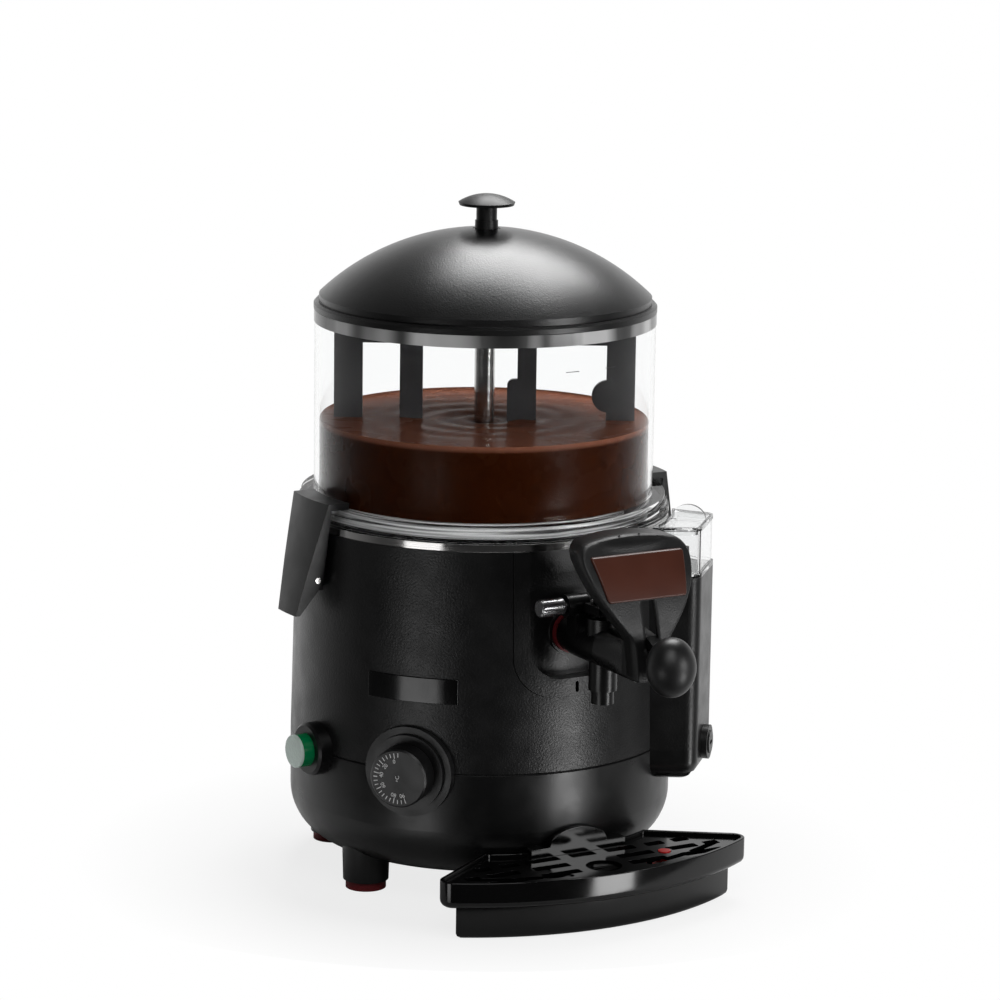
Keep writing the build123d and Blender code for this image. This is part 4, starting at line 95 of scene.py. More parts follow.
class DispenserSizes(bpy.types.PropertyGroup):
    """Sizes that a user would change."""

    drink_level: bpy.props.FloatProperty(
        name="Drink level", description="Height of the drink above the table",
        default=0.3105, unit="LENGTH", precision=4)
    drink_ripple: bpy.props.FloatProperty(
        name="Ripple", description="Height of the swirl's ripples on the drink",
        default=0.0006, unit="LENGTH", precision=4)
    step_height: bpy.props.FloatProperty(
        name="Foot height", description="Height of the bowl's clear foot under the drink",
        default=0.0085, unit="LENGTH", precision=4)
    mark_height: bpy.props.FloatProperty(
        name="Level mark", description="Height of the level dashes above the table",
        default=0.3605, unit="LENGTH", precision=4)
    tick_length: bpy.props.FloatProperty(
        name="Tick length", description="Length of the strokes on the dial",
        default=0.0027, unit="LENGTH", precision=4)
    digit_height: bpy.props.FloatProperty(
        name="Digit size", description="Font size of the figures on the dial",
        default=0.0038, unit="LENGTH", precision=4)
    knurl_depth: bpy.props.FloatProperty(
        name="Knurl depth", description="Depth of the diamond knurl on the tap's pin",
        default=0.0004, unit="LENGTH", precision=4)


class DispenserColours(bpy.types.PropertyGroup):
    """Colours that a user would change."""

    black: bpy.props.FloatVectorProperty(
        name="Plastic", description="Black of the moulded plastic",
        default=(0.0032, 0.0032, 0.0034), subtype="COLOR", min=0, max=1)
    label: bpy.props.FloatVectorProperty(
        name="Hood plate", description="Brown of the plate on the hood",
        default=(0.068, 0.020, 0.012), subtype="COLOR", min=0, max=1)
    drink: bpy.props.FloatVectorProperty(
        name="Drink", description="Brown of the drink's surface",
        default=(0.13, 0.048, 0.028), subtype="COLOR", min=0, max=1)
    # Painted shade: the drink's brown darkened where it stands behind the bowl's wall
    drink_deep: bpy.props.FloatVectorProperty(
        name="Deep drink", description="Brown of the drink behind the wall",
        default=(0.018, 0.0037, 0.0005), subtype="COLOR", min=0, max=1)
    rubber: bpy.props.FloatVectorProperty(
        name="Rubber", description="Red of the feet and the tap's ring",
        default=(0.17, 0.012, 0.016), subtype="COLOR", min=0, max=1)
    switch: bpy.props.FloatVectorProperty(
        name="Switch", description="Green of the switch",
        default=(0.0, 0.22, 0.07), subtype="COLOR", min=0, max=1)
    float_red: bpy.props.FloatVectorProperty(
        name="Float", description="Red of the tray's float",
        default=(0.62, 0.018, 0.016), subtype="COLOR", min=0, max=1)


class DispenserStudio(bpy.types.PropertyGroup):
    """Light and camera."""

    back_power: bpy.props.FloatProperty(
        name="Back", description="Power of the lamp above and behind", default=17.0, unit="POWER")
    right_power: bpy.props.FloatProperty(
        name="Right", description="Power of the low light at the right", default=3.4, unit="POWER")
    left_power: bpy.props.FloatProperty(
        name="Left", description="Power of the low light at the left", default=1.8, unit="POWER")
    top_power: bpy.props.FloatProperty(
        name="Top", description="Power of the small lamp above the camera", default=2.2, unit="POWER")
    front_power: bpy.props.FloatProperty(
        name="Front", description="Power of the small light before the hood", default=2.8, unit="POWER")
    lens: bpy.props.FloatProperty(
        name="Lens", description="Focal length of the camera", default=139.75, unit="CAMERA")


def sizes():
    """The size settings of the scene in hand."""
    return bpy.context.scene.dispenser_sizes


def colours():
    """The colour settings of the scene in hand."""
    return bpy.context.scene.dispenser_colours


# Node helpers
def material(name):
    """A new material with one Principled shader, and its tree and shader."""
    made = bpy.data.materials.new(name)
    made.use_nodes = True
    tree = made.node_tree
    tree.nodes.clear()
    output = tree.nodes.new("ShaderNodeOutputMaterial")
    shader = tree.nodes.new("ShaderNodeBsdfPrincipled")
    tree.links.new(shader.outputs["BSDF"], output.inputs["Surface"])
    return made, tree, shader


def noise(tree, scale, detail, stretch=None):
    """Noise on the piece's own coordinates; stretch scales it per axis."""
    where = tree.nodes.new("ShaderNodeTexCoord")
    made = tree.nodes.new("ShaderNodeTexNoise")
    made.inputs["Scale"].default_value = scale
    made.inputs["Detail"].default_value = detail
    link = where.outputs["Object"]
    if stretch:
        mapping = tree.nodes.new("ShaderNodeMapping")
        mapping.inputs["Scale"].default_value = stretch
        tree.links.new(link, mapping.inputs["Vector"])
        link = mapping.outputs["Vector"]
    tree.links.new(link, made.inputs["Vector"])
    return made.outputs["Fac"]


def ranged(tree, value, low, high, from_low=0.3, from_high=0.7):
    """A value mapped to a range."""
    made = tree.nodes.new("ShaderNodeMapRange")
    made.inputs["From Min"].default_value = from_low
    made.inputs["From Max"].default_value = from_high
    made.inputs["To Min"].default_value = low
    made.inputs["To Max"].default_value = high
    tree.links.new(value, made.inputs["Value"])
    return made.outputs["Result"]


def ramp(tree, value, stops):
    """A colour ramp on a value; stops are places with linear colours."""
    made = tree.nodes.new("ShaderNodeValToRGB")
    elements = made.color_ramp.elements
    while len(elements) > 1:
        elements.remove(elements[-1])
    elements[0].position, first = stops[0]
    elements[0].color = (*first, 1)
    for place, colour in stops[1:]:
        elements.new(place).color = (*colour, 1)
    tree.links.new(value, made.inputs["Fac"])
    return made.outputs["Color"]


def grey(tone):
    """A colour of one tone."""
    return (tone, tone, tone)


def scaled(colour, share):
    """A colour made lighter or darker."""
    return tuple(min(1.0, part * share) for part in colour)


def bump(tree, shader, height, distance):
    """Raises the surface by a height value."""
    made = tree.nodes.new("ShaderNodeBump")
    made.inputs["Distance"].default_value = distance
    made.inputs["Strength"].default_value = 1.0
    tree.links.new(height, made.inputs["Height"])
    tree.links.new(made.outputs["Normal"], shader.inputs["Normal"])


def maths(tree, operation, first, second):
    """Result of a Math node, whose second value may be a plain number."""
    made = tree.nodes.new("ShaderNodeMath")
    made.operation = operation
    tree.links.new(first, made.inputs[0])
    if isinstance(second, float):
        made.inputs[1].default_value = second
    else:
        tree.links.new(second, made.inputs[1])
    return made.outputs["Value"]


def mixed(tree, output, share, first, second):
    """Shows the first shader at an output, and the second by a share."""
    mix = tree.nodes.new("ShaderNodeMixShader")
    for socket, value in zip(mix.inputs, (share, first, second)):
        tree.links.new(value, socket)
    tree.links.new(mix.outputs["Shader"], output.inputs["Surface"])


def straight_rays(tree):
    """One for rays from the camera, also through clear pieces, and nought once they have bounced."""
    path = tree.nodes.new("ShaderNodeLightPath").outputs
    seen = maths(tree, "MAXIMUM", path["Is Camera Ray"], path["Is Transmission Ray"])
    bounces = maths(tree, "ADD", path["Glossy Depth"], path["Diffuse Depth"])
    return maths(tree, "MULTIPLY", seen, maths(tree, "LESS_THAN", bounces, 0.5))


# Finishes
def moulded(name, colour, roughness, grain=None, depth=0.0, shine=0.5, spread=0.05):
    """Moulded plastic: fine grain, slight change of gloss and tone over the piece."""
    made, tree, shader = material(name)
    tone = noise(tree, scale=14.0, detail=3.0)
    tree.links.new(
        ramp(tree, tone, [(0.35, scaled(colour, 0.82)), (0.65, scaled(colour, 1.2))]),
        shader.inputs["Base Color"],
    )
    gloss = noise(tree, scale=60.0, detail=4.0)
    tree.links.new(
        ranged(tree, gloss, roughness - spread, roughness + spread), shader.inputs["Roughness"]
    )
    shader.inputs["Specular IOR Level"].default_value = shine
    if grain:
        bump(tree, shader, noise(tree, scale=1.0 / grain, detail=2.0), depth)
    return made


def metal(name, colour, roughness, scale, stretch=None):
    """Bright metal with faint drawn lines."""
    made, tree, shader = material(name)
    shader.inputs["Metallic"].default_value = 1.0
    lines = noise(tree, scale, detail=3.0, stretch=stretch)
    tree.links.new(
        ramp(tree, lines, [(0.3, scaled(colour, 0.9)), (0.7, colour)]), shader.inputs["Base Color"]
    )
    tree.links.new(
        ranged(tree, lines, roughness * 0.7, roughness * 1.3), shader.inputs["Roughness"]
    )
    bump(tree, shader, lines, distance=0.00001)
    return made


def clear_plastic(name, tint, roughness, ior, shine=0.5):
    """Clear plastic that lets lamps through."""
    made, tree, shader = material(name)
    shader.inputs["Base Color"].default_value = (*tint, 1)
    shader.inputs["Transmission Weight"].default_value = 1.0
    shader.inputs["IOR"].default_value = ior
    shader.inputs["Specular IOR Level"].default_value = shine
    haze = noise(tree, scale=22.0, detail=3.0)
    tree.links.new(
        ranged(tree, haze, roughness * 0.5, roughness * 1.5), shader.inputs["Roughness"]
    )
    open_way = tree.nodes.new("ShaderNodeBsdfTransparent")
    path = tree.nodes.new("ShaderNodeLightPath")
    mixed(
        tree, tree.nodes["Material Output"], path.outputs["Is Shadow Ray"],
        shader.outputs["BSDF"], open_way.outputs["BSDF"],
    )
    return made


def give(finish, *nodes):
    """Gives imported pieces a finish."""
    for name in nodes:
        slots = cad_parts[name].data.materials
        slots.clear()
        slots.append(finish)


# Mesh helpers
def facing(angle, reach, z):
    """Matrix whose X is to the right, Y up and Z out of the body, at an angle round it from the tap."""
    right = Vector((cos(angle), sin(angle), 0))
    out = Vector((sin(angle), -cos(angle), 0))
    turn = Matrix((right, UP, out)).transposed().to_4x4()
    turn.translation = Vector((0, AXIS_Y, z)) + out * reach
    return turn


def spaced(start, gap, count):
    """Places at an even gap."""
    return [start + gap * i for i in range(count)]


def bevelled(mesh, geom, width, steps, affect="EDGES"):
    """Rounds edges or corners of a bmesh over."""
    bmesh.ops.bevel(
        mesh, geom=geom, offset=width, offset_type="OFFSET", segments=steps, profile=0.5,
        affect=affect, clamp_overlap=True, material=-1,
    )


def moved_out(mesh, geom, depth):
    """Moves the vertices among extruded geometry along Y."""
    verts = [part for part in geom if isinstance(part, bmesh.types.BMVert)]
    bmesh.ops.translate(mesh, verts=verts, vec=(0, depth, 0))


def turned(line, centre, axis, steps):
    """Skin of a line of places that is spun a full turn about an axis."""
    mesh = bmesh.new()
    verts = [mesh.verts.new(place) for place in line]
    for start, end in zip(verts, verts[1:]):
        mesh.edges.new((start, end))
    bmesh.ops.spin(
        mesh, geom=mesh.verts[:] + mesh.edges[:], cent=centre, axis=axis,
        angle=2 * pi, steps=steps, use_merge=True,
    )
    bmesh.ops.remove_doubles(mesh, verts=mesh.verts, dist=MERGE)
    return mesh


def turned_round(line):
    """Skin of a line of radii and heights, spun about the machine's axis."""
    return turned([(r, AXIS_Y, z) for r, z in line], (0, AXIS_Y, 0), UP, ROUND_STEPS)


def write(mesh, words, size, place):
    """Adds flat figures to a bmesh, centred on a place."""
    curve = bpy.data.curves.new("figures", "FONT")
    curve.body = words
    curve.size = size
    curve.align_x = "CENTER"
    curve.align_y = "CENTER"
    holder = bpy.data.objects.new("figures", curve)
    bpy.context.scene.collection.objects.link(holder)
    flat = bpy.data.meshes.new_from_object(holder.evaluated_get(bpy.context.evaluated_depsgraph_get()))
    flat.transform(place)
    mesh.from_mesh(flat)
    bpy.data.objects.remove(holder)
    bpy.data.curves.remove(curve)
    bpy.data.meshes.remove(flat)


def piece(name, mesh, finish, body, smooth_angle=35.0):
    """Turns a bmesh into a piece that rides on a body."""
    data = bpy.data.meshes.new(name)
    mesh.to_mesh(data)
    mesh.free()
    data.materials.append(finish)
    data.shade_smooth()
    data.set_sharp_from_angle(angle=radians(smooth_angle))
    made = bpy.data.objects.new(name, data)
    bpy.context.scene.collection.objects.link(made)
    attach(made, body)
    return made


def rounding(width, steps, low=0.0, high=1.0):
    """One pass of softened(): a width, its steps and the heights between which it holds."""
    return width, steps, low, high


def softened(node, body, slot_name, *passes):
    """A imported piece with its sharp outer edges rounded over."""
    flat, sharp = radians(0.5), radians(38)
    mesh = bmesh.new()
    mesh.from_mesh(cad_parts[node].data)
    bmesh.ops.remove_doubles(mesh, verts=mesh.verts, dist=2 * MERGE)
    bmesh.ops.dissolve_limit(
        mesh, angle_limit=flat, verts=mesh.verts, edges=mesh.edges, delimit={"NORMAL"}
    )
    for width, steps, low, high in passes:
        edges = [
            edge for edge in mesh.edges
            if len(edge.link_faces) == 2 and edge.is_convex and edge.calc_face_angle(0) > sharp
            and all(low <= v.co.z <= high for v in edge.verts)
        ]
        bevelled(mesh, edges, width, steps)
    made = piece(node + "_soft", mesh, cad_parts[node].data.materials[0], body)
    made.modifiers.new("flat_faces", "WEIGHTED_NORMAL").keep_sharp = True
    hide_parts(node)


class DISPENSER_OT_shells(bpy.types.Operator):
    """Grained black finishes of the body, bezel, clips, collars and lid, with softened edges"""

    bl_idname = "dispenser.shells"
    bl_label = "Finish the shells"

    def execute(self, context):
        black = colours().black
        darker = scaled(black, 0.9)
        give(
            moulded("shell_black", black, roughness=0.36, grain=0.0013, depth=0.00018),
            "upper_shell", "tap_bezel",
        )
        give(
            moulded("base_black", darker, roughness=0.32, grain=0.0008, depth=0.00002),
            "base_shell",
        )
        give(
            moulded("lid_black", darker, roughness=0.31, grain=0.0011, depth=0.00013, spread=0.01),
            "lid",
        )
        give(
            moulded("knob_black", black, roughness=0.42, grain=0.0007, depth=0.00004, shine=0.35),
            "lid_knob",
        )
        give(
            moulded("trim_black", black, roughness=0.38, grain=0.0007, depth=0.00003),
            "clip_left", "clip_right", "clip_brackets", "dial_collar", "switch_collar", "switch_body",
            "fill_tube", "drain_socket", "drain_plug", "cable_gland", "tray_guide", "thermostat_knob",
        )
        give(moulded("plate_gloss", scaled(black, 0.4), roughness=0.16, spread=0.03), "nameplate")
        softened("clip_left", "clip_left", "trim", rounding(width=0.0012, steps=3))
        softened("clip_right", "clip_right", "trim", rounding(width=0.0012, steps=3))
        softened("nameplate", "machine", "plate", rounding(width=0.0005, steps=2))
        softened("tap_bezel", "machine", "shell", rounding(width=0.0008, steps=2))
        return {"FINISHED"}


class DISPENSER_OT_metal(bpy.types.Operator):
    """Polished ring and shaft, sheet pots, and the plain metal inside"""

    bl_idname = "dispenser.metal"
    bl_label = "Finish the metal"

    def execute(self, context):
        give(
            metal("polished_steel", (0.66, 0.65, 0.64), roughness=0.14, scale=12.0, stretch=(1, 1, 40)),
            "top_ring", "shaft_column", "drive_shaft", "clip_pins", "bottom_screws", "motor_screws",
            "thermostat_bulb", "knob_spindle", "cross_pin", "knob_screw",
        )
        give(
            metal("drawn_steel", grey(0.55), roughness=0.3, scale=16.0, stretch=(1, 1, 60)),
            "bath_pot", "inner_pot", "outlet_pipe",
        )
        give(
            metal("plated_steel", (0.30, 0.30, 0.31), roughness=0.42, scale=90.0),
            "bottom_cover", "motor_bracket", "gear_motor", "thermostat_body", "heater_ring",
        )
        return {"FINISHED"}


class DISPENSER_OT_clear_parts(bpy.types.Operator):
    """Clear bowl, water tank and its lid"""

    bl_idname = "dispenser.clear_parts"
    bl_label = "Finish the clear parts"

    def execute(self, context):
        give(
            clear_plastic("clear_bowl", (0.985, 0.99, 0.99), roughness=0.02, ior=1.12, shine=0.3),
            "bowl",
        )
        give(
            clear_plastic("clear_tank", (0.97, 0.975, 0.975), roughness=0.03, ior=1.45),
            "water_tank", "tank_lid",
        )
        return {"FINISHED"}


class DISPENSER_OT_rubber(bpy.types.Operator):
    """Red feet and tap ring, and the dark gasket"""

    bl_idname = "dispenser.rubber"
    bl_label = "Finish the rubber"

    def execute(self, context):
        fine = {"grain": 0.0009, "depth": 0.00003, "shine": 0.35}
        give(moulded("red_rubber", colours().rubber, roughness=0.55, **fine), "feet", "tap_seal")
        give(moulded("dark_rubber", grey(0.02), roughness=0.6, **fine), "bowl_gasket")
        return {"FINISHED"}


class DISPENSER_OT_tap(bpy.types.Operator):
    """Black finishes of the tap, lever, ball and hood, and the brown of the hood's plate"""

    bl_idname = "dispenser.tap"
    bl_label = "Finish the tap"

    def execute(self, context):
        black = colours().black
        fine = {"grain": 0.0006, "depth": 0.00002}
        give(
            moulded("tap_black", scaled(black, 0.75), roughness=0.3, **fine),
            "tap_body", "tap_cap", "tap_piston",
        )
        give(moulded("lever_black", scaled(black, 0.6), roughness=0.55, **fine, shine=0.2), "tap_lever")
        give(moulded("ball_black", scaled(black, 1.4), roughness=0.42, **fine), "lever_ball")
        # The hood's own black, lightened by a painted sheen for the grey that its grain catches
        give(
            moulded("hood_black", scaled(black, 1.6), roughness=0.46, grain=0.0011, depth=0.00016),
            "tap_hood",
        )
        give(
            moulded("plate_brown", colours().label, roughness=0.34, shine=0.3, spread=0.03),
            "hood_label",
        )
        return {"FINISHED"}


class DISPENSER_OT_spring(bpy.types.Operator):
    """Return spring of the tap, a merged copy of the imported coil"""

    bl_idname = "dispenser.spring"
    bl_label = "Fit the spring"

    def execute(self, context):
        mesh = bmesh.new()
        mesh.from_mesh(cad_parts["tap_spring"].data)
        bmesh.ops.remove_doubles(mesh, verts=mesh.verts, dist=MERGE)
        finish = metal("spring_steel", grey(0.5), roughness=0.25, scale=80.0)
        made = piece("tap_spring_coil", mesh, finish, "machine")
        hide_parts("tap_spring")
        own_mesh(made)
        return {"FINISHED"}


class DISPENSER_OT_hood(bpy.types.Operator):
    """Shield over the tap with round shoulders, a dished brow and the lever's slot, and its brown plate"""

    bl_idname = "dispenser.hood"
    bl_label = "Shape the hood"

    def execute(self, context):
        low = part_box("tap_hood")[0]
        bend, tilt, stem = 0.128, radians(21.5), 0.052
        middle = low.z + stem
        centre_y = low.y + bend
        centre_z = middle - bend * sin(tilt)

        def reach(z, offset):
            """Y of the hood's bent face at a height, moved out by an offset."""
            return centre_y - ((bend + offset) ** 2 - (z - centre_z) ** 2) ** 0.5

        self.shield(middle, reach)
        self.plate(middle, reach)
        return {"FINISHED"}

    def outline(self, middle, corners):
        """Flat face from its right half, mirrored; a corner is across, up from the middle, and rounding."""
        mesh = bmesh.new()
        both = corners + [(-across, up, radius) for across, up, radius in reversed(corners) if across]
        verts = [mesh.verts.new((across, 0, middle + up)) for across, up, _ in both]
        mesh.faces.new(verts)
        for vert, (_, _, radius) in zip(verts, both):
            bevelled(mesh, [vert], radius, steps=8, affect="VERTICES")
        bmesh.ops.recalc_face_normals(mesh, faces=mesh.faces)
        return mesh

    def cut(self, mesh, way, places):
        """Cuts a mesh across a way, so that it can bend."""
        for place in places:
            bmesh.ops.bisect_plane(
                mesh, geom=mesh.verts[:] + mesh.edges[:] + mesh.faces[:], dist=MERGE,
                plane_co=way * place, plane_no=way,
            )

    def shield(self, middle, reach):
        """Bent shell with a skirt, open along the lever's slot and dished below its top edge."""
        skirt, edge, thickness = 0.0135, 0.0018, 0.0025
        slot, slot_low, slot_high = 0.0048, middle - 0.032, middle
        brow, brow_wide, brow_high, brow_deep = middle + 0.0335, 0.023, 0.0048, 0.0026
        mesh = self.outline(middle, [
            (0.0115, -0.052, 0.002), (0.0135, -0.025, 0.004), (0.0285, -0.006, 0.009),
            (0.038, 0.012, 0.008), (0.0415, 0.0335, 0.011), (0.0, 0.041, 0.026),
        ])
        rim = mesh.edges[:]
        moved_out(mesh, bmesh.ops.extrude_edge_only(mesh, edges=rim)["geom"], skirt)
        bevelled(mesh, rim, edge, steps=4)
        bmesh.ops.recalc_face_normals(mesh, faces=mesh.faces)
        self.cut(mesh, UP, [slot_low, slot_high] + spaced(middle - 0.05, gap=0.002, count=45))
        self.cut(mesh, Vector((1, 0, 0)), [-slot, slot] + spaced(-0.0385, gap=0.0035, count=23))
        gap = []
        for face in mesh.faces:
            spot = face.calc_center_median()
            if abs(spot.x) < slot and slot_low < spot.z < slot_high and spot.y < edge / 2:
                gap.append(face)
        bmesh.ops.delete(mesh, geom=gap, context="FACES")
        for v in mesh.verts:
            dish = max(0.0, 1 - (v.co.x / brow_wide) ** 2 - ((v.co.z - brow) / brow_high) ** 2) ** 0.5
            sunk = brow_deep * dish if v.co.y < NEAR else 0
            v.co.y = reach(v.co.z, -v.co.y) + sunk
        front = min(mesh.faces, key=lambda face: face.calc_center_median().y)
        if front.normal.y > 0:
            bmesh.ops.reverse_faces(mesh, faces=mesh.faces)
        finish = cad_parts["tap_hood"].data.materials[0]
        made = piece("hood_shield", mesh, finish, "machine", smooth_angle=50.0)
        wall = made.modifiers.new("wall", "SOLIDIFY")
        wall.thickness, wall.offset = thickness, -1.0
        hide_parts("tap_hood")

    def plate(self, middle, reach):
        """Bent plate that stands a little off the shield."""
        thickness, edge, row = 0.0016, 0.0011, 0.0025
        mesh = self.outline(middle, [(0.029, 0.0005, 0.002), (0.0345, 0.028, 0.002)])
        moved_out(mesh, bmesh.ops.extrude_face_region(mesh, geom=mesh.faces[:])["geom"], thickness)
        bmesh.ops.recalc_face_normals(mesh, faces=mesh.faces)
        outer = [e for e in mesh.edges if all(v.co.y > thickness / 2 for v in e.verts)]
        bevelled(mesh, outer, edge, steps=3)
        self.cut(mesh, UP, spaced(middle + row, gap=row, count=11))
        for v in mesh.verts:
            v.co.y = reach(v.co.z, v.co.y)
        bmesh.ops.recalc_face_normals(mesh, faces=mesh.faces)
        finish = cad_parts["hood_label"].data.materials[0]
        made = piece("hood_plate", mesh, finish, "machine", smooth_angle=50.0)
        made.modifiers.new("flat_faces", "WEIGHTED_NORMAL").keep_sharp = True
        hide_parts("hood_label")


class DISPENSER_OT_stirrer(bpy.types.Operator):
    """Dark smooth blades of the stirrer"""

    bl_idname = "dispenser.stirrer"
    bl_label = "Finish the stirrer"

    def execute(self, context):
        blade = (0.03, 0.03, 0.031)
        give(moulded("blade_grey", blade, roughness=0.4, grain=0.0008, depth=0.00002), "stirrer")
        return {"FINISHED"}


class DISPENSER_OT_tray(bpy.types.Operator):
    """Gloss black tray and grille with softened edges, and the red float"""

    bl_idname = "dispenser.tray"
    bl_label = "Finish the tray"

    def execute(self, context):
        gloss = moulded("tray_gloss", scaled(colours().black, 0.55), roughness=0.12, spread=0.03)
        give(gloss, "drip_tray", "drip_grille")
        give(moulded("float_red", colours().float_red, roughness=0.3), "tray_float")
        low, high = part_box("drip_tray")
        band, rim, slack = low.z + 0.023, low.z + 0.036, 0.0005
        softened(
            "drip_tray", "drip_tray", "tray",
            rounding(width=0.006, steps=4, low=band - slack, high=band + slack),
            rounding(width=0.004, steps=3, low=low.z, high=low.z + slack),
            rounding(width=0.0008, steps=3, low=rim, high=high.z),
        )
        softened("drip_grille", "drip_grille", "tray", rounding(width=0.0005, steps=2))
        return {"FINISHED"}


class DISPENSER_OT_switch(bpy.types.Operator):
    """Green switch with its milky lens"""

    bl_idname = "dispenser.switch"
    bl_label = "Finish the switch"

    def execute(self, context):
        milky = (0.66, 0.78, 0.72)
        give(moulded("switch_green", colours().switch, roughness=0.2, spread=0.03), "power_button")
        give(
            moulded("switch_lens", milky, roughness=0.1, grain=0.0022, depth=0.0007, spread=0.03),
            "button_lens",
        )
        return {"FINISHED"}


class DISPENSER_OT_drink(bpy.types.Operator):
    """Hot chocolate in the bowl and pot, with a slow swirl on top"""

    bl_idname = "dispenser.drink"
    bl_label = "Pour the drink"

    def execute(self, context):
        level = sizes().drink_level
        foot = BOWL_FOOT + sizes().step_height
        wall = BOWL_INSIDE - WALL_GAP
        pot_wall = POT_INSIDE - WALL_GAP
        pot_base, rings, corner = 0.0018, 46, 0.002
        low = POT_FLOOR + pot_base
        line = [(wall * i / rings, level) for i in range(rings)]
        line += [(wall - CLIMB / 2, level + CLIMB / 4), (wall, level + CLIMB)]
        line += [(wall, foot + corner), (wall - corner * 0.3, foot + corner * 0.3), (wall - corner, foot)]
        line += [(pot_wall, foot), (pot_wall, low), (0, low)]
        mesh = turned_round(line)
        self.swirl(mesh, level)
        bmesh.ops.recalc_face_normals(mesh, faces=mesh.faces)
        top = self.finish("drink_top", level, shine=0.004)
        made = piece("chocolate", mesh, top, "machine", smooth_angle=60.0)
        made.data.materials.append(self.finish("drink_side", level, shine=0.05))
        for face in made.data.polygons:
            face.material_index = 0 if face.normal.z > 0.5 else 1
        return {"FINISHED"}

    def swirl(self, mesh, level):
        """Ripples on the surface that wind round a dip in the middle."""
        ripple, ripple_gap, ripple_reach = sizes().drink_ripple, 0.021, 0.10
        dip, dip_reach = 0.0025, 0.045
        for v in mesh.verts:
            if abs(v.co.z - level) < NEAR:
                r = Vector((v.co.x, v.co.y - AXIS_Y)).length
                turn = atan2(v.co.y - AXIS_Y, v.co.x)
                v.co.z += ripple * max(0.0, 1 - r / ripple_reach) * sin(2 * pi * r / ripple_gap - turn)
                v.co.z -= dip * max(0.0, 1 - r / dip_reach) ** 2

    def finish(self, name, level, shine):
        """Brown with painted shade below the surface and a painted highlight ring where it climbs the wall,
        with a slow mottle of gloss.
        """
        shade_depth = 0.06
        made, tree, shader = material(name)
        where = tree.nodes.new("ShaderNodeTexCoord")
        split = tree.nodes.new("ShaderNodeSeparateXYZ")
        tree.links.new(where.outputs["Object"], split.inputs["Vector"])
        height = ranged(tree, split.outputs["Z"], 0, 1, level - shade_depth, level + CLIMB)
        top = colours().drink
        shaded_brown = colours().drink_deep
        # Painted shade and highlight by height: dark behind the wall, a little lighter toward the bottom,
        # darker in the swirl's troughs and its middle dip, the drink's own brown on top, and a painted
        # highlight ring where it climbs the wall
        tree.links.new(
            ramp(tree, height, [
                (0.0, scaled(shaded_brown, 1.5)), (0.25, shaded_brown), (0.93, shaded_brown),
                (0.955, scaled(top, 0.7)), (0.972, top), (0.985, top), (0.992, scaled(top, 1.15)),
            ]),
            shader.inputs["Base Color"],
        )
        mottle = noise(tree, scale=40.0, detail=3.0)
        tree.links.new(ranged(tree, mottle, low=0.22, high=0.32), shader.inputs["Roughness"])
        shader.inputs["Specular IOR Level"].default_value = shine
        return made


class DISPENSER_OT_bowl_light(bpy.types.Operator):
    """Light that the bowl's thick clear foot and rim gather, as pale banded rings"""

    bl_idname = "dispenser.bowl_light"
    bl_label = "Light the bowl's edges"

    def execute(self, context):
        self.ring(
            "bowl_foot_light", inner=POT_INSIDE - 0.0002, outer=BOWL_INSIDE - WALL_GAP,
            low=BOWL_FOOT + 0.0004, high=BOWL_FOOT + sizes().step_height - 0.0003,
            stretch=(0.35, 0.35, 14.0), tones=(0.06, 0.5, 0.85),
        )
        self.ring(
            "bowl_rim_light", inner=BOWL_OUTSIDE + 0.00005, outer=BOWL_OUTSIDE + 0.0004,
            low=LID_EDGE + 0.0004, high=LID_EDGE + 0.0088,
            stretch=(0.8, 0.8, 0.1), tones=(0.003, 0.08, 0.60),
        )
        return {"FINISHED"}

    def ring(self, name, inner, outer, low, high, stretch, tones):
        """A ring with soft bands of three tones."""
        corner = 0.0003
        mesh = turned_round([
            (inner, low), (outer, low), (outer, high - corner), (outer - corner, high),
            (inner, high), (inner, low),
        ])
        bmesh.ops.recalc_face_normals(mesh, faces=mesh.faces)
        made, tree, shader = material(name)
        bands = noise(tree, scale=30.0, detail=1.0, stretch=stretch)
        places = (0.36, 0.49, 0.62)
        stops = [(place, grey(tone)) for place, tone in zip(places, tones)]
        tree.links.new(ramp(tree, bands, stops), shader.inputs["Base Color"])
        tree.links.new(ranged(tree, bands, low=0.2, high=0.1), shader.inputs["Roughness"])
        bump(tree, shader, bands, distance=0.0008)
        piece(name, mesh, made, "machine")


class DISPENSER_OT_level_marks(bpy.types.Operator):
    """Two short dashes on the bowl at its full level"""

    bl_idname = "dispenser.level_marks"
    bl_label = "Print the level dashes"

    def execute(self, context):
        lift, stroke, first_angles, span = 0.00006, 0.0005, (-2.0, 14.0), 5.0
        outer = BOWL_OUTSIDE + lift
        low = sizes().mark_height
        mesh = bmesh.new()
        for angle in map(radians, first_angles):
            ends = [
                mesh.verts.new((outer * sin(angle), AXIS_Y - outer * cos(angle), z))
                for z in (low, low + stroke)
            ]
            edge = mesh.edges.new(ends)
            bmesh.ops.spin(
                mesh, geom=[*ends, edge], cent=(0, AXIS_Y, 0), axis=UP,
                angle=radians(span), steps=6, use_merge=False,
            )
        bmesh.ops.recalc_face_normals(mesh, faces=mesh.faces)
        ink = moulded("dash_ink", grey(0.02), roughness=0.5)
        piece("level_dashes", mesh, ink, "machine")
        return {"FINISHED"}


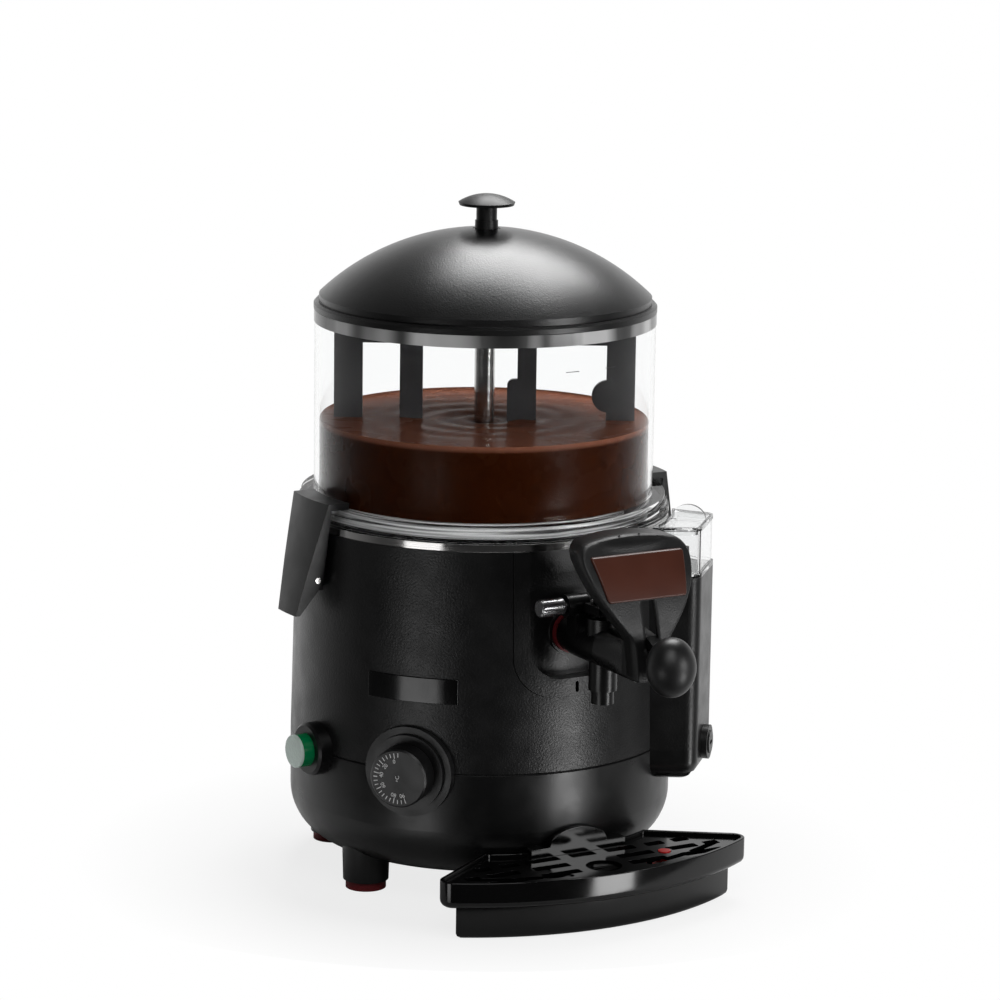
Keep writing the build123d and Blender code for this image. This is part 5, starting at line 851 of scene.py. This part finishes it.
class DISPENSER_OT_dial_print(bpy.types.Operator):
    """Strokes and figures printed on the dial"""

    bl_idname = "dispenser.dial_print"
    bl_label = "Print the dial"

    def execute(self, context):
        lift, stroke, tick_reach, digit_reach = 0.00003, 0.00055, 0.0172, 0.0116
        tick_gap, last_tick, long_tick, unit_turn = 10, 200, 1.35, 105
        figures = {0: 13, 20: 50, 40: 83, 60: 118, 80: 166, 90: 196}
        face = facing(DIAL_ANGLE, DIAL_REACH + lift, DIAL_HEIGHT)

        def place(angle, reach):
            """Matrix of a spot on the dial, at an angle and a reach from its middle."""
            return face @ Matrix.Rotation(radians(angle), 4, "Z") @ Matrix.Translation((0, reach, 0))

        mesh = bmesh.new()
        for angle in range(0, last_tick + 1, tick_gap):
            marked = any(abs(angle - spot) < tick_gap / 2 for spot in figures.values())
            long = sizes().tick_length * (long_tick if marked else 1.0)
            tick = bmesh.ops.create_grid(mesh, x_segments=1, y_segments=1, size=0.5)
            bmesh.ops.transform(
                mesh, verts=tick["verts"],
                matrix=place(angle, tick_reach - long / 2) @ Matrix.Diagonal((stroke, long, 1, 1)),
            )
        for value, angle in figures.items():
            write(mesh, str(value), sizes().digit_height, place(angle, digit_reach))
        write(mesh, "°C", sizes().digit_height, place(unit_turn, 0))
        ink = moulded("dial_ink", grey(0.72), roughness=0.5)
        piece("dial_print", mesh, ink, "thermostat_knob")
        return {"FINISHED"}


class DISPENSER_OT_knurl(bpy.types.Operator):
    """Diamond knurl over the head of the tap's pin"""

    bl_idname = "dispenser.knurl"
    bl_label = "Knurl the tap's pin"

    def execute(self, context):
        low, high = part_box("tap_pin")
        middle = (low + high) / 2
        radius = (high.z - low.z) / 2
        start, end, shaft, edge = low.x, -0.021, 0.003, 0.0012
        steps, rows = 44, 22
        length = end - start - 2 * edge
        line = [(start, 0.0), (start, radius - edge), (start + edge / 2, radius - edge / 4)]
        line += [(start + edge + length * i / rows, radius) for i in range(rows + 1)]
        line += [(end - edge / 2, radius - edge / 4), (end, radius - edge)]
        line += [(end, shaft), (high.x, shaft), (high.x, 0.0)]
        places = [(x, middle.y, middle.z + r) for x, r in line]
        mesh = turned(places, (0, middle.y, middle.z), (1, 0, 0), steps)
        for v in mesh.verts:
            out = Vector((0, v.co.y - middle.y, v.co.z - middle.z))
            if abs(out.length - radius) < NEAR:
                around = round((atan2(out.y, out.z) / (2 * pi)) * steps)
                along = round((v.co.x - start - edge) / length * rows)
                if (around + along) % 2:
                    v.co -= out.normalized() * sizes().knurl_depth
        bmesh.ops.recalc_face_normals(mesh, faces=mesh.faces)
        finish = metal("knurl_steel", (0.55, 0.55, 0.56), roughness=0.24, scale=60.0)
        made = piece("tap_pin_knurled", mesh, finish, "machine", smooth_angle=20.0)
        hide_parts("tap_pin")
        return {"FINISHED"}


class DISPENSER_OT_stage(bpy.types.Operator):
    """Pale floor, soft studio light and the camera"""

    bl_idname = "dispenser.stage"
    bl_label = "Set the stage"

    def execute(self, context):
        scene = context.scene
        studio = scene.dispenser_studio
        scene.view_settings.view_transform = "Standard"
        self.floor()
        self.world(scene)
        self.lamp("back_lamp", turn=164, rise=61, far=1.3, size=(0.75, 0.75), power=studio.back_power)
        self.lamp("right_card", turn=52, rise=-22.5, far=1.25, size=(0.30, 0.40), power=studio.right_power)
        self.lamp("left_card", turn=-35, rise=-17.4, far=1.55, size=(0.62, 0.40), power=studio.left_power)
        self.lamp("top_lamp", turn=5, rise=35, far=0.94, size=(0.50, 0.45), power=studio.top_power)
        self.lamp("front_card", turn=52, rise=6, far=1.1, size=(0.35, 0.25), power=studio.front_power)
        self.camera(scene, studio.lens)
        return {"FINISHED"}

    def floor(self):
        """Round pale floor that fades into the white around it and keeps the machine's shadow."""
        radius, behind, fade_start, fade_end = 0.37, 0.12, 0.16, 0.28
        mesh = bmesh.new()
        bmesh.ops.create_circle(mesh, cap_ends=True, segments=128, radius=radius)
        bmesh.ops.translate(mesh, verts=mesh.verts, vec=Vector((0, AXIS_Y, 0)) + VIEW_AHEAD * behind)
        data = bpy.data.meshes.new("floor")
        mesh.to_mesh(data)
        mesh.free()
        made, tree, shader = material("floor_white")
        shader.inputs["Base Color"].default_value = (*grey(0.75), 1)
        shader.inputs["Roughness"].default_value = 0.9
        shader.inputs["Specular IOR Level"].default_value = 0.1
        glow = tree.nodes.new("ShaderNodeEmission")
        glow.inputs["Color"].default_value = (*grey(1), 1)
        glow.inputs["Strength"].default_value = 1.0
        where = tree.nodes.new("ShaderNodeTexCoord")
        offset = tree.nodes.new("ShaderNodeVectorMath")
        offset.operation = "DISTANCE"
        offset.inputs[1].default_value = (0, AXIS_Y, 0)
        tree.links.new(where.outputs["Object"], offset.inputs[0])
        fade = ranged(
            tree, offset.outputs["Value"], low=0.8, high=1.0, from_low=fade_start, from_high=fade_end
        )
        mixed(
            tree, tree.nodes["Material Output"], maths(tree, "MULTIPLY", straight_rays(tree), fade),
            shader.outputs["BSDF"], glow.outputs["Emission"],
        )
        data.materials.append(made)
        floor = bpy.data.objects.new("floor", data)
        bpy.context.scene.collection.objects.link(floor)

    def world(self, scene):
        """White to the camera, and to the machine a room, bright behind it and dim before and above it."""
        world = bpy.data.worlds.new("studio")
        scene.world = world
        world.use_nodes = True
        tree = world.node_tree
        tree.nodes.clear()
        output = tree.nodes.new("ShaderNodeOutputWorld")
        white = tree.nodes.new("ShaderNodeBackground")
        white.inputs["Color"].default_value = (*grey(1), 1)
        room = tree.nodes.new("ShaderNodeBackground")
        room.inputs["Strength"].default_value = 1.0
        where = tree.nodes.new("ShaderNodeTexCoord")
        towards = tree.nodes.new("ShaderNodeVectorMath")
        towards.operation = "DOT_PRODUCT"
        towards.inputs[1].default_value = VIEW_AHEAD
        tree.links.new(where.outputs["Generated"], towards.inputs[0])
        ahead = ranged(tree, towards.outputs["Value"], low=0, high=1, from_low=-1.0, from_high=1.0)
        tones = ((0.0, 0.03), (0.3, 0.05), (0.54, 0.2), (0.71, 0.5), (0.81, 0.8), (0.91, 1.0))
        shade = ramp(tree, ahead, [(place, grey(tone)) for place, tone in tones])
        split = tree.nodes.new("ShaderNodeSeparateXYZ")
        tree.links.new(where.outputs["Generated"], split.inputs["Vector"])
        overhead = ranged(tree, split.outputs["Z"], low=1.0, high=0.3, from_low=0.15, from_high=0.55)
        dim = tree.nodes.new("ShaderNodeMix")
        dim.data_type = "RGBA"
        dim.blend_type = "MULTIPLY"
        dim.inputs["Factor"].default_value = 1.0
        tree.links.new(shade, dim.inputs["A"])
        tree.links.new(overhead, dim.inputs["B"])
        tree.links.new(dim.outputs["Result"], room.inputs["Color"])
        mixed(
            tree, output, straight_rays(tree), room.outputs["Background"], white.outputs["Background"]
        )

    def lamp(self, name, turn, rise, far, size, power):
        """Soft lamp that faces the machine, turned to the right of the camera, raised and far off."""
        target = Vector((0, AXIS_Y, 0.22))
        turn, rise = radians(turn), radians(rise)
        level = VIEW_RIGHT * sin(turn) - VIEW_AHEAD * cos(turn)
        place = target + (level * cos(rise) + UP * sin(rise)) * far
        data = bpy.data.lights.new(name, "AREA")
        data.shape = "RECTANGLE"
        data.size, data.size_y = size
        data.energy = power
        made = bpy.data.objects.new(name, data)
        made.location = place
        made.rotation_euler = (target - place).to_track_quat("-Z", "Y").to_euler()
        bpy.context.scene.collection.objects.link(made)

    def camera(self, scene, lens):
        """Camera where the photograph was taken from."""
        pitch, roll, height = 0.206, 0.014, 0.797
        aside, back = -1.2741, -2.2664
        forward = VIEW_AHEAD * cos(pitch) - UP * sin(pitch)
        above = VIEW_RIGHT.cross(forward)
        x = VIEW_RIGHT * cos(roll) + above * sin(roll)
        y = above * cos(roll) - VIEW_RIGHT * sin(roll)
        data = bpy.data.cameras.new("camera")
        data.lens = lens
        data.sensor_width = 36.0
        made = bpy.data.objects.new("camera", data)
        turn = Matrix((x, y, -forward)).transposed().to_4x4()
        turn.translation = Vector((aside, AXIS_Y + back, height))
        made.matrix_world = turn
        scene.collection.objects.link(made)
        scene.camera = made


class DISPENSER_PT_panel(bpy.types.Panel):
    """Lists the dispenser's steps and settings in the sidebar"""

    bl_idname = "DISPENSER_PT_panel"
    bl_label = "Dispenser"
    bl_space_type = "VIEW_3D"
    bl_region_type = "UI"
    bl_category = "Dispenser"

    def draw(self, context):
        column = self.layout.column()
        for step in STEPS:
            column.operator(step.bl_idname)
        for group in ("dispenser_sizes", "dispenser_colours", "dispenser_studio"):
            settings = getattr(context.scene, group)
            for name in settings.bl_rna.properties.keys():
                if name not in ("rna_type", "name"):
                    column.prop(settings, name)


STEPS = (
    DISPENSER_OT_shells,
    DISPENSER_OT_metal,
    DISPENSER_OT_clear_parts,
    DISPENSER_OT_rubber,
    DISPENSER_OT_tap,
    DISPENSER_OT_spring,
    DISPENSER_OT_hood,
    DISPENSER_OT_stirrer,
    DISPENSER_OT_tray,
    DISPENSER_OT_switch,
    DISPENSER_OT_drink,
    DISPENSER_OT_bowl_light,
    DISPENSER_OT_level_marks,
    DISPENSER_OT_dial_print,
    DISPENSER_OT_knurl,
    DISPENSER_OT_stage,
)
CLASSES = (DispenserSizes, DispenserColours, DispenserStudio, *STEPS, DISPENSER_PT_panel)


def register():
    for made in CLASSES:
        bpy.utils.register_class(made)
    bpy.types.Scene.dispenser_sizes = bpy.props.PointerProperty(type=DispenserSizes)
    bpy.types.Scene.dispenser_colours = bpy.props.PointerProperty(type=DispenserColours)
    bpy.types.Scene.dispenser_studio = bpy.props.PointerProperty(type=DispenserStudio)


def unregister():
    del bpy.types.Scene.dispenser_studio
    del bpy.types.Scene.dispenser_colours
    del bpy.types.Scene.dispenser_sizes
    for made in reversed(CLASSES):
        bpy.utils.unregister_class(made)


def main():
    register()
    for step in STEPS:
        group, name = step.bl_idname.split(".")
        getattr(getattr(bpy.ops, group), name)()


if __name__ == "__main__":
    main()
